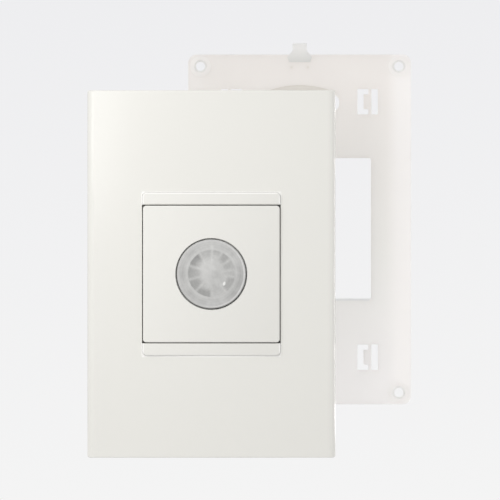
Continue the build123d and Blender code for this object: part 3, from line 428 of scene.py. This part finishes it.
DRAWN = (1, 1, 14)
LINE_SCALE = 1400.0
LINE_DETAIL = 4.0
LINE_STRENGTH = 0.3
LINE_DEPTH = 0.01
TARNISH_SCALE = 320.0
METAL_GLOSSIER = 0.06
METAL_DULLER = 0.1
METALS = {
    "can_metal": dict(colour=(0.62, 0.61, 0.58), roughness=0.3),
    "gilt_pins": dict(colour=(0.83, 0.62, 0.28), roughness=0.22),
    "contact_metal": dict(colour=(0.8, 0.56, 0.26), roughness=0.28, tarnish=0.25),
    "zinc_steel": dict(colour=(0.66, 0.66, 0.64), roughness=0.3, tarnish=0.15),
}


def brushed_metal(name, colour, roughness, tarnish=0.12):
    """Metal with fine drawn lines and a little tarnish."""
    mat, tree, shader = new_material(name)
    lines = noise_value(tree, object_place(tree, DRAWN), LINE_SCALE, LINE_DETAIL)
    cloud = noise_value(tree, object_place(tree), TARNISH_SCALE, FINE_DETAIL)
    tint = mix_colours(tree, cloud, toned(colour, 1 - tarnish), colour)
    gloss = map_range(tree, lines, *NOISE_BAND, roughness - METAL_GLOSSIER, roughness + METAL_DULLER)
    wire(tree, shader, {"Base Color": tint, "Roughness": gloss, "Metallic": 1.0})
    add_bump(tree, shader, lines, LINE_STRENGTH, LINE_DEPTH)
    return mat


# Circuit boards

BOARD_MASK = (0.012, 0.09, 0.035)
BOARD_CLOUD = (0.03, 0.12, 0.05)
BOARD_CLOUD_SCALE = 90.0
BOARD_CLOUD_BAND = (0.3, 0.7)
BOARD_CLOUD_SHARE = 0.25
LANE_SCALE = 230.0
LANE_GAP = 0.035
LANE_BAND = (0.1, 0.9)
LANE_TONE = 1.35
LANE_STRENGTH = 0.4
LANE_DEPTH = 0.03
LANE_COLOURS = {"Color1": (1, 1, 1), "Color2": (0.85, 0.85, 0.85), "Mortar": (0, 0, 0)}


def track_lanes(tree, place):
    """One on the lanes of the tracks in a board's plane, nought between them."""
    quarter = (math.radians(90), 0, 0)
    turned = add_node(tree, "ShaderNodeMapping", {"Vector": place, "Rotation": quarter})
    pattern = {"Scale": LANE_SCALE, "Mortar Size": LANE_GAP, **LANE_COLOURS}
    brick = add_node(tree, "ShaderNodeTexBrick", {"Vector": turned.outputs["Vector"], **pattern})
    return map_range(tree, brick.outputs["Color"], *LANE_BAND)


def circuit_board(name):
    """Solder mask over copper tracks: the tracks show as slightly lighter, raised lanes."""
    mat, tree, shader = new_material(name)
    place = object_place(tree)
    lanes = track_lanes(tree, place)
    tint = mix_colours(tree, lanes, BOARD_MASK, toned(BOARD_MASK, LANE_TONE))
    cloud = noise_value(tree, place, BOARD_CLOUD_SCALE, SLOW_DETAIL)
    share = map_range(tree, cloud, *BOARD_CLOUD_BAND, 0.0, BOARD_CLOUD_SHARE)
    tint = mix_colours(tree, share, tint, BOARD_CLOUD)
    wire(tree, shader, {"Base Color": tint, "Roughness": 0.34, "Coat Weight": 0.3, "Coat Roughness": 0.15})
    add_bump(tree, shader, lanes, LANE_STRENGTH, LANE_DEPTH)
    return mat


# Resin, filter glass and the lens's milky plastic

SWIRL_STRENGTH = 0.1
SWIRL_DEPTH = 0.01
RESIN = (0.93, 0.95, 0.96)
RESIN_SCALE = 500.0
RESIN_TONE = 0.93
GLASS_BLACK = (0.012, 0.012, 0.016)
GLASS_VIOLET = (0.035, 0.03, 0.05)
GLASS_SCALE = 420.0
HAZE_SCALE = 520.0
HAZE_BAND = (0.25, 0.75)
HAZE_MILK = (0.8, 0.87)
HAZE_STRENGTH = 0.2
HAZE_DEPTH = 0.006
LENS_DARK = (0.02, 0.02, 0.02)
LENS_LIGHT = (0.96, 0.96, 0.95)
LENS_GLOW = 0.05


def swirled(name, scale, dark, light, inputs):
    """Material whose colour swirls between two, with the faintest relief."""
    mat, tree, shader = new_material(name)
    swirl = noise_value(tree, object_place(tree), scale, SLOW_DETAIL)
    wire(tree, shader, {"Base Color": mix_colours(tree, swirl, dark, light), **inputs})
    add_bump(tree, shader, swirl, SWIRL_STRENGTH, SWIRL_DEPTH)
    return mat


def clear_resin(name):
    """Clear cast resin, a little uneven."""
    inputs = {"Transmission Weight": 0.85, "Roughness": 0.05, "IOR": 1.5}
    return swirled(name, RESIN_SCALE, toned(RESIN, RESIN_TONE), RESIN, inputs)


def dark_glass(name):
    """Filter of a coated silicon chip: near black, with a faint violet sheen."""
    return swirled(name, GLASS_SCALE, GLASS_BLACK, GLASS_VIOLET, {"Roughness": 0.08, "Coat Weight": 0.6})


def lens_plastic(name):
    """Milky lens: its own attribute darkens the panels that look into the module, and carries painted light
    and shade: a glint, lighter and darker sides and a shaded gap round its edge.
    """
    mat, tree, shader = new_material(name)
    shade = add_node(tree, "ShaderNodeAttribute", {}, attribute_name="milk_and_painted_light")
    haze = noise_value(tree, object_place(tree), HAZE_SCALE, FINE_DETAIL)
    milk_and_painted_light = times(tree, shade.outputs["Fac"], map_range(tree, haze, *HAZE_BAND, *HAZE_MILK))
    tint = mix_colours(tree, milk_and_painted_light, LENS_DARK, LENS_LIGHT)
    wire(tree, shader, {"Base Color": tint, "Roughness": 0.48, "Specular IOR Level": 0.25})
    add_bump(tree, shader, haze, HAZE_STRENGTH, HAZE_DEPTH)
    add_glow(tree, shader, tint, LENS_GLOW)
    return mat


def make_finishes():
    """Every finish under the name of the material that it stands for."""
    made = {name: moulded_plastic(name, **values) for name, values in PLASTICS.items()}
    made.update({name: brushed_metal(name, **values) for name, values in METALS.items()})
    made["milky_plastic"] = milky_sheet("milky_plastic", NODES["back_plate"])
    for name, make in (("circuit_board", circuit_board), ("clear_epoxy", clear_resin),
                       ("filter_glass", dark_glass), ("lens_plastic", lens_plastic)):
        made[name] = make(name)
    return made


def dress_nodes():
    """Gives every slot of every CAD node the finish that goes by its material's name."""
    for node in NODES.values():
        for slot in node.material_slots:
            finish = slot.material and slot.material.name.split(".")[0]
            if finish in FINISHES:
                slot.material = FINISHES[finish]


FINISHES = make_finishes()
dress_nodes()


# Lens

LENS_RADIUS = 11.3 * MM
LENS_EDGE = 9.7 * MM
LENS_RISE = 2.7 * MM
LENS_WALL = 0.8 * MM
LENS_SHOULDER = 0.45 * MM
SHOULDER_STRETCH = 1.2
FLANGE_FRONT = -6.7 * MM
LENS_BACK = -6.0 * MM
LENS_ROUND = 0.1 * MM
LENS_SPHERE = (LENS_RADIUS ** 2 + LENS_RISE ** 2) / (2 * LENS_RISE)
LENS_CENTRE_Y = LENS_SPHERE - LENS_EDGE - LENS_RISE
DOME_REACH = LENS_RADIUS - LENS_SHOULDER
BORE_REACH = LENS_RADIUS - LENS_WALL
LENS_STEPS = 360
FRONT_RINGS = 110
SHOULDER_RINGS = 6
BACK_RINGS = 20
SMOOTH_ANGLE = 40

DISC_RADIUS = 7.65 * MM
DISC_CENTRE = (0.05 * MM, 0.2 * MM)
CELL_START = 3.0 * MM
CELL_SOFT = 1.6 * MM
CELL_CENTRE = 4.6 * MM
CELL_FADE = 0.9 * MM
EDGE_DARK = 0.35
DIVIDER_WIDTH = 0.4 * MM
DIVIDER_HEIGHT = 0.6 * MM
GROOVE_PITCH = 0.8 * MM
GROOVE_DEPTH = 0.045 * MM
RIM_START = 10.35 * MM
RIM_SOFT = 0.4 * MM
RING_MIDDLE = 9.5 * MM
RING_WIDTH = 0.9 * MM
BEAD = 0.5 * MM
SPOKE_ANGLE = 89
SPOKE_WIDTH = 0.45 * MM
DIM_ANGLE = 338
DIM_WIDTH = 60
BRIGHT_ANGLE = -20

TIP_MILK = 0.76
SHOULDER_MILK = 0.77
# Painted shade darkens the shoulder, seat and side wall down into the gap round the lens; painted light lifts
# their tops and painted shade lowers their feet.
SHOULDER_SHADE_FALL = 0.04
SHOULDER_TOP_LIGHT = 0.03
SEAT_SHADE_MILK = 0.45
WALL_SHADE_MILK = 0.6
FLANGE_TOP_LIGHT = 0.3
DISC_MILK = 0.74
CELL_TOOTH = 0.04
RING_MILK = 0.765
RING_TOOTH = 0.045
BEAD_MILK = 0.03
SPOKE_MILK = 0.05
DIM_SHADE = 0.11
RIM_MILK = 0.04
RIM_RIGHT_LIGHT = 0.17
MOTTLE_MILK = 0.035
MOTTLE_SIZES = (1.6 * MM, 0.7 * MM)
# Painted shade on the lens's upper left and painted light on its lower right
SLANT_SHADE = 0.09
SLANT_ANGLE = 155
SLANT_REACH = (3.5 * MM, 9 * MM)
CORE_MILK = 0.06
CORE_CENTRE = (-0.9 * MM, 0.9 * MM)
CORE_RADII = (5.2 * MM, 1.5 * MM)
CORE_REACH = 4 * MM
SPOT_MILK = 0.05
SPOT_CENTRE = (1.2 * MM, -0.2 * MM)
SPOT_RADII = (2.0 * MM, 0.7 * MM)
# Painted glint: a bright slanted spot on the disc, slightly raised
GLINT_MILK = 1.25
GLINT_CENTRE = (4.2 * MM, -3.15 * MM)
GLINT_REACH = (0.45 * MM, 0.8 * MM)
GLINT_SLANT = 20
GLINT_HEIGHT = 0.1 * MM
GLINT_FULL = 0.6

# A cell starts at an angle in degrees. Its shade starts and is full at two distances in millimetres,
# and a divider lightens its start.
Cell = namedtuple("Cell", "start shade shade_from shade_full divider")
DISC_CELLS = [
    Cell(10, 0.15, 3.4, 5.4, 0.015),
    Cell(37, 0.2, 3.8, 5.8, 0.015),
    Cell(63, 0.13, 5.0, 7.4, 0.01),
    Cell(88, 0.1, 4.6, 6.2, 0.06),
    Cell(122, 0.3, 3.6, 7.2, 0.015),
    Cell(160, 0.19, 2.4, 4.6, 0.025),
    Cell(196, 0.23, 2.6, 6.2, 0.01),
    Cell(229, 0.26, 4.2, 7.0, 0.03),
    Cell(270, 0.04, 3.0, 5.0, 0.025),
    Cell(309, 0.2, 4.6, 6.2, 0.025),
    Cell(351, 0.12, 3.4, 5.6, 0.015),
]
# Darker arcs of the border ring, with their middle and width in degrees
Arc = namedtuple("Arc", "middle shade width")
RING_ARCS = [
    Arc(0, 0.11, 16), Arc(45, 0.1, 10), Arc(68, 0.04, 7), Arc(135, 0.09, 12), Arc(178, 0.1, 14),
    Arc(225, 0.11, 9), Arc(250, 0.05, 10), Arc(318, 0.12, 16), Arc(340, 0.09, 10),
]


def smoothstep(low, high, value):
    """Smooth rise from nought at one value to one at another."""
    t = min(1.0, max(0.0, (value - low) / (high - low)))
    return t * t * (3 - 2 * t)


def bell(value, width):
    """One at nought, falling off smoothly on both sides."""
    return math.exp(-(value / width) ** 2)


def turn_from(middle, angle):
    """Angle from a middle, from -180 to 180 degrees."""
    return (angle - middle + 180) % 360 - 180


def sawtooth(reach):
    """Grooves at even distances, from -0.5 to 0.5."""
    return (reach / GROOVE_PITCH) % 1.0 - 0.5


def patch(x, z, centre, radii):
    """Round patch, from nought at its first radius to one at its second."""
    return smoothstep(*radii, math.hypot(x - centre[0], z - centre[1]))


def find_cell(angle):
    """The disc's cell at an angle and the one after it, with the angles from its start and to its end."""
    for cell, following in zip(DISC_CELLS, DISC_CELLS[1:] + DISC_CELLS[:1]):
        width = (following.start - cell.start) % 360
        into = (angle - cell.start) % 360
        if into < width:
            break
    return cell, following, into, width - into


def glint_share(x, z):
    """How near a place is to the middle of the painted glint, a bright slanted spot, from 1 there to 0
    outside it.
    """
    slant = math.radians(GLINT_SLANT)
    dx, dz = x - GLINT_CENTRE[0], z - GLINT_CENTRE[1]
    across = dx * math.cos(slant) - dz * math.sin(slant)
    along = dx * math.sin(slant) + dz * math.cos(slant)
    return max(0.0, 1 - (across / GLINT_REACH[0]) ** 2 - (along / GLINT_REACH[1]) ** 2)


def ring_shade(radius, angle, reach):
    """Relief and milkiness of the border ring round the disc, with painted shade towards its lower right and
    painted light on its rim, most towards the right.
    """
    rim = smoothstep(RIM_START, RIM_START + RIM_SOFT, radius)
    tooth = sawtooth(reach - DISC_RADIUS)
    arcs = sum(arc.shade * bell(turn_from(arc.middle, angle), arc.width) for arc in RING_ARCS)
    spoke = SPOKE_MILK * bell(math.radians(turn_from(SPOKE_ANGLE, angle)) * radius, SPOKE_WIDTH)
    # Painted shade towards the lower right of the ring, painted light on the rim.
    dim = DIM_SHADE * bell(turn_from(DIM_ANGLE, angle), DIM_WIDTH)
    bright = RIM_RIGHT_LIGHT * max(0.0, math.cos(math.radians(angle - BRIGHT_ANGLE)))
    bead = BEAD_MILK * bell(reach - DISC_RADIUS - BEAD, BEAD)
    milk_and_painted_light = RING_MILK + bead - arcs * bell(radius - RING_MIDDLE, RING_WIDTH)
    milk_and_painted_light += (1 - rim) * (RING_TOOTH * tooth + spoke - dim) + rim * (RIM_MILK + bright)
    return GROOVE_DEPTH * tooth * (1 - rim), milk_and_painted_light


def disc_shade(angle, reach):
    """Relief and milkiness of a cell of the disc."""
    cell, following, into, left = find_cell(angle)
    turn, middle = math.radians(angle), math.radians(angle + (left - into) / 2)
    away = math.radians(min(into, left)) * reach
    divider = (cell if into < left else following).divider * bell(away, DIVIDER_WIDTH)
    outer = smoothstep(CELL_START, CELL_START + CELL_SOFT, reach)
    dark = smoothstep(cell.shade_from * MM, cell.shade_full * MM, reach)
    dark *= EDGE_DARK + (1 - EDGE_DARK) * smoothstep(0, CELL_FADE, away)
    tooth = sawtooth(math.hypot(reach * math.cos(turn) - CELL_CENTRE * math.cos(middle),
                                reach * math.sin(turn) - CELL_CENTRE * math.sin(middle)))
    milk_and_painted_light = DISC_MILK - cell.shade * dark + outer * (CELL_TOOTH * tooth + divider)
    return outer * (GROOVE_DEPTH * tooth + DIVIDER_HEIGHT * divider), milk_and_painted_light


def mottle(x, z, turn):
    """Cloudiness of the lens, with painted shade on its upper left and painted light on its lower right."""
    clouds = sum(noise.noise(Vector((x, z, layer)) / size) for layer, size in enumerate(MOTTLE_SIZES))
    slant = math.cos(math.radians(turn - SLANT_ANGLE)) * smoothstep(*SLANT_REACH, math.hypot(x, z))
    return MOTTLE_MILK * clouds - SLANT_SHADE * slant


def lens_surface(radius, angle):
    """How far the surface stands out from the plain dome at a place, and how milky it is, painted light and
    shade included.
    """
    x = radius * math.cos(math.radians(angle))
    z = radius * math.sin(math.radians(angle))
    dx, dz = x - DISC_CENTRE[0], z - DISC_CENTRE[1]
    reach = math.hypot(dx, dz)
    turn = math.degrees(math.atan2(dz, dx)) % 360
    if reach > DISC_RADIUS:
        relief, milk_and_painted_light = ring_shade(radius, turn, reach)
        return relief, milk_and_painted_light + mottle(x, z, turn)
    relief, milk_and_painted_light = disc_shade(turn, reach)
    core = patch(x, z, CORE_CENTRE, CORE_RADII) * smoothstep(CORE_REACH, -CORE_REACH, x - z)
    spot = patch(x, z, SPOT_CENTRE, SPOT_RADII)
    milk_and_painted_light += CORE_MILK * core - SPOT_MILK * spot + mottle(x, z, turn)
    # Painted glint: the milkiness rises to white in a small slanted spot.
    painted_glint = glint_share(x, z)
    relief = relief * (1 - painted_glint) + GLINT_HEIGHT * painted_glint ** 2
    milk_and_painted_light += (GLINT_MILK - milk_and_painted_light) * smoothstep(0, GLINT_FULL, painted_glint)
    return relief * smoothstep(0, MM, radius), milk_and_painted_light


def dome_y(radius, shell=0.0):
    """Depth of the lens's dome at a radius, or of its inner side, one shell further back."""
    sphere = LENS_SPHERE - shell
    return LENS_CENTRE_Y - math.sqrt(sphere ** 2 - radius ** 2)


def front_ring(radius):
    """Ring on the dome's front: its radius, and its depth and milkiness at an angle."""
    def place(angle):
        relief, milk_and_painted_light = lens_surface(radius, angle)
        return dome_y(radius) - relief, milk_and_painted_light
    return radius, place


def plain_ring(radius, depth, milk_and_painted_light, top_light=0.0):
    """Ring of one depth, with painted light that raises its milkiness at its top and painted shade that
    lowers it as much at its foot.
    """
    return radius, lambda angle: (depth, milk_and_painted_light + top_light * math.sin(math.radians(angle)))


def shoulder_ring(step):
    """Ring on the round between the dome's edge and the side wall, with painted shade that darkens it step by
    step towards the gap.
    """
    turn = math.radians(90 * step / SHOULDER_RINGS)
    drop = LENS_SHOULDER * (1 - math.cos(turn)) * SHOULDER_STRETCH
    return plain_ring(DOME_REACH + LENS_SHOULDER * math.sin(turn), dome_y(DOME_REACH) + drop,
                      SHOULDER_MILK - SHOULDER_SHADE_FALL * step, SHOULDER_TOP_LIGHT * step)


def lens_rings():
    """Every ring in turn, from the front's tip round the shoulder and the flange to the back's tip."""
    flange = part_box("fresnel_lens")[1].x
    rings = [front_ring(DOME_REACH * i / FRONT_RINGS) for i in range(1, FRONT_RINGS + 1)]
    rings += [shoulder_ring(step) for step in range(1, SHOULDER_RINGS + 1)]
    rings += [
        plain_ring(LENS_RADIUS, FLANGE_FRONT - LENS_ROUND, SEAT_SHADE_MILK, FLANGE_TOP_LIGHT),
        plain_ring(LENS_RADIUS + LENS_ROUND, FLANGE_FRONT, SEAT_SHADE_MILK, FLANGE_TOP_LIGHT),
        plain_ring(flange - LENS_ROUND, FLANGE_FRONT, WALL_SHADE_MILK, FLANGE_TOP_LIGHT),
        plain_ring(flange, FLANGE_FRONT + LENS_ROUND, WALL_SHADE_MILK),
        plain_ring(flange, LENS_BACK - LENS_ROUND, WALL_SHADE_MILK),
        plain_ring(flange - LENS_ROUND, LENS_BACK, WALL_SHADE_MILK),
        plain_ring(BORE_REACH, LENS_BACK, WALL_SHADE_MILK),
    ]
    for i in range(BACK_RINGS, 0, -1):
        radius = BORE_REACH * i / BACK_RINGS
        rings.append(plain_ring(radius, dome_y(radius, LENS_WALL), WALL_SHADE_MILK))
    return rings


def lens_points(rings):
    """Points of the front's tip, of every ring and of the back's tip, and the milkiness of each."""
    points, milk_and_painted_light = [(0, dome_y(0), 0)], [TIP_MILK]
    for radius, place in rings:
        for step in range(LENS_STEPS):
            angle = 360 * step / LENS_STEPS
            depth, shade = place(angle)
            turn = math.radians(angle)
            points.append((radius * math.cos(turn), depth, radius * math.sin(turn)))
            milk_and_painted_light.append(shade)
    return points + [(0, dome_y(0, LENS_WALL), 0)], milk_and_painted_light + [WALL_SHADE_MILK]


def lens_faces(ring_count):
    """Faces between neighbouring rings, and the fans that close both tips."""
    firsts = [1 + i * LENS_STEPS for i in range(ring_count)]
    back_tip = firsts[-1] + LENS_STEPS
    steps = [(j, (j + 1) % LENS_STEPS) for j in range(LENS_STEPS)]
    faces = [(inner + j, outer + j, outer + k, inner + k)
             for inner, outer in zip(firsts, firsts[1:]) for j, k in steps]
    for j, k in steps:
        faces.append((0, firsts[0] + j, firsts[0] + k))
        faces.append((back_tip, firsts[-1] + k, firsts[-1] + j))
    return faces


def make_lens():
    """Domed lens with a disc of cells, a border ring of cells, a side wall and a flange."""
    rings = lens_rings()
    points, milk_and_painted_light = lens_points(rings)
    mesh = bpy.data.meshes.new("lens_with_cells")
    mesh.from_pydata(points, [], lens_faces(len(rings)))
    # The attribute holds the lens's milkiness with its painted light and shade.
    mesh.attributes.new("milk_and_painted_light", "FLOAT", "POINT").data.foreach_set("value", milk_and_painted_light)
    bm = bmesh.new()
    bm.from_mesh(mesh)
    bmesh.ops.recalc_face_normals(bm, faces=bm.faces)
    bm.to_mesh(mesh)
    bm.free()
    mesh.shade_smooth()
    mesh.set_sharp_from_angle(angle=math.radians(SMOOTH_ANGLE))
    mesh.materials.append(FINISHES["lens_plastic"])
    lens = bpy.data.objects.new("lens_with_cells", mesh)
    bpy.context.scene.collection.objects.link(lens)
    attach(lens, "module")
    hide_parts("fresnel_lens")


make_lens()


# Camera, floor, lights and background

VIEW_WIDTH = 0.16325
VIEW_DISTANCE = 5.0
VIEW_X = 0.01262
VIEW_Z = 0.00784
VIEW_END = 100.0
FRONT_PLANE = -0.009
SENSOR_WIDTH = 36.0
FLOOR_HALF = 3.0
FLOOR_LEVEL = -0.2
FLOOR_FADE = (1.0, 2.8)
FLOOR_CLOUD_SCALE = 3.0
FLOOR_DARK = (0.8, 0.8, 0.8)
FLOOR_LIGHT = (0.83, 0.83, 0.83)
BACKDROP_LOW = (244, 244, 244)
BACKDROP_HIGH = (238, 238, 240)
AMBIENT = 0.69
AMBIENT_TINT = (1, 0.995, 0.985)
WHITE = (1, 1, 1)

# Each has its place, what it points at, its size, its power and its colour.
LIGHTS = {
    "key": ((-0.16, -0.26, 0.14), (0.0, 0.0, 0.0), 0.25, 0.456, (1, 0.995, 0.98)),
    "fill": ((0.5, -0.1, 0.05), (0.03, 0.0, 0.0), 0.4, 0.2, WHITE),
    "back": ((0.2, 0.3, -0.03), (0.05, 0.026, -0.03), 0.25, 0.5, WHITE),
}


def make_camera():
    """Camera at the photograph's place: straight on, with a long lens."""
    data = bpy.data.cameras.new("camera")
    data.sensor_width = SENSOR_WIDTH
    data.lens = SENSOR_WIDTH * VIEW_DISTANCE / VIEW_WIDTH
    data.clip_end = VIEW_END
    camera = bpy.data.objects.new("camera", data)
    camera.location = (VIEW_X, FRONT_PLANE - VIEW_DISTANCE, VIEW_Z)
    camera.rotation_euler = (math.radians(90), 0, 0)
    bpy.context.scene.collection.objects.link(camera)
    bpy.context.scene.camera = camera


def make_floor():
    """Pale floor, clear from below, that fades out with distance."""
    mesh = bpy.data.meshes.new("studio_floor")
    corners = [(-1, -1), (1, -1), (1, 1), (-1, 1)]
    mesh.from_pydata([(x * FLOOR_HALF, y * FLOOR_HALF, FLOOR_LEVEL) for x, y in corners], [], [(0, 1, 2, 3)])
    floor = bpy.data.objects.new("studio_floor", mesh)
    bpy.context.scene.collection.objects.link(floor)
    mat, tree, shader = new_material("pale_floor")
    place = object_place(tree)
    cloud = noise_value(tree, place, FLOOR_CLOUD_SCALE, SLOW_DETAIL)
    tint = mix_colours(tree, cloud, FLOOR_DARK, FLOOR_LIGHT)
    wire(tree, shader, {"Base Color": tint, "Roughness": 0.7})
    x, y, _ = axes(tree, place)
    far = map_range(tree, distance(tree, x, y), *FLOOR_FADE)
    side = add_node(tree, "ShaderNodeNewGeometry", {})
    clear = add_node(tree, "ShaderNodeBsdfTransparent", {})
    gone = math_node(tree, "MAXIMUM", side.outputs["Backfacing"], far)
    mix_shaders(tree, gone, shader.outputs["BSDF"], clear.outputs["BSDF"])
    mesh.materials.append(mat)


def srgb(value):
    """Linear value of an 8-bit display value."""
    c = value / 255
    return c / 12.92 if c <= 0.04045 else ((c + 0.055) / 1.055) ** 2.4


def make_world():
    """Even soft light all round, and a pale backdrop that only the camera sees."""
    world = bpy.data.worlds.new("studio")
    bpy.context.scene.world = world
    world.use_nodes = True
    tree = world.node_tree
    tree.nodes.clear()
    add_node(tree, "ShaderNodeOutputWorld", {})
    coord = add_node(tree, "ShaderNodeTexCoord", {})
    path = add_node(tree, "ShaderNodeLightPath", {})
    reach = VIEW_WIDTH / VIEW_DISTANCE / 2
    height = map_range(tree, axes(tree, coord.outputs["Generated"])[2], -reach, reach)
    low, high = [tuple(srgb(v) for v in colour) for colour in (BACKDROP_LOW, BACKDROP_HIGH)]
    backdrop = add_node(tree, "ShaderNodeBackground", {"Color": mix_colours(tree, height, low, high)})
    soft = add_node(tree, "ShaderNodeBackground", {"Color": AMBIENT_TINT, "Strength": AMBIENT})
    mix_shaders(tree, path.outputs["Is Camera Ray"], soft.outputs["Background"],
                backdrop.outputs["Background"])


def make_light(name, place, target, size, power, colour):
    """Square soft light that points at a target."""
    data = bpy.data.lights.new(name, "AREA")
    data.shape = "SQUARE"
    data.size = size
    data.energy = power
    data.color = colour
    light = bpy.data.objects.new(name, data)
    light.location = place
    light.rotation_euler = (Vector(target) - Vector(place)).to_track_quat("-Z", "Y").to_euler()
    bpy.context.scene.collection.objects.link(light)


make_camera()
make_floor()
make_world()
for name, values in LIGHTS.items():
    make_light(name, *values)
bpy.context.scene.view_settings.view_transform = "Standard"
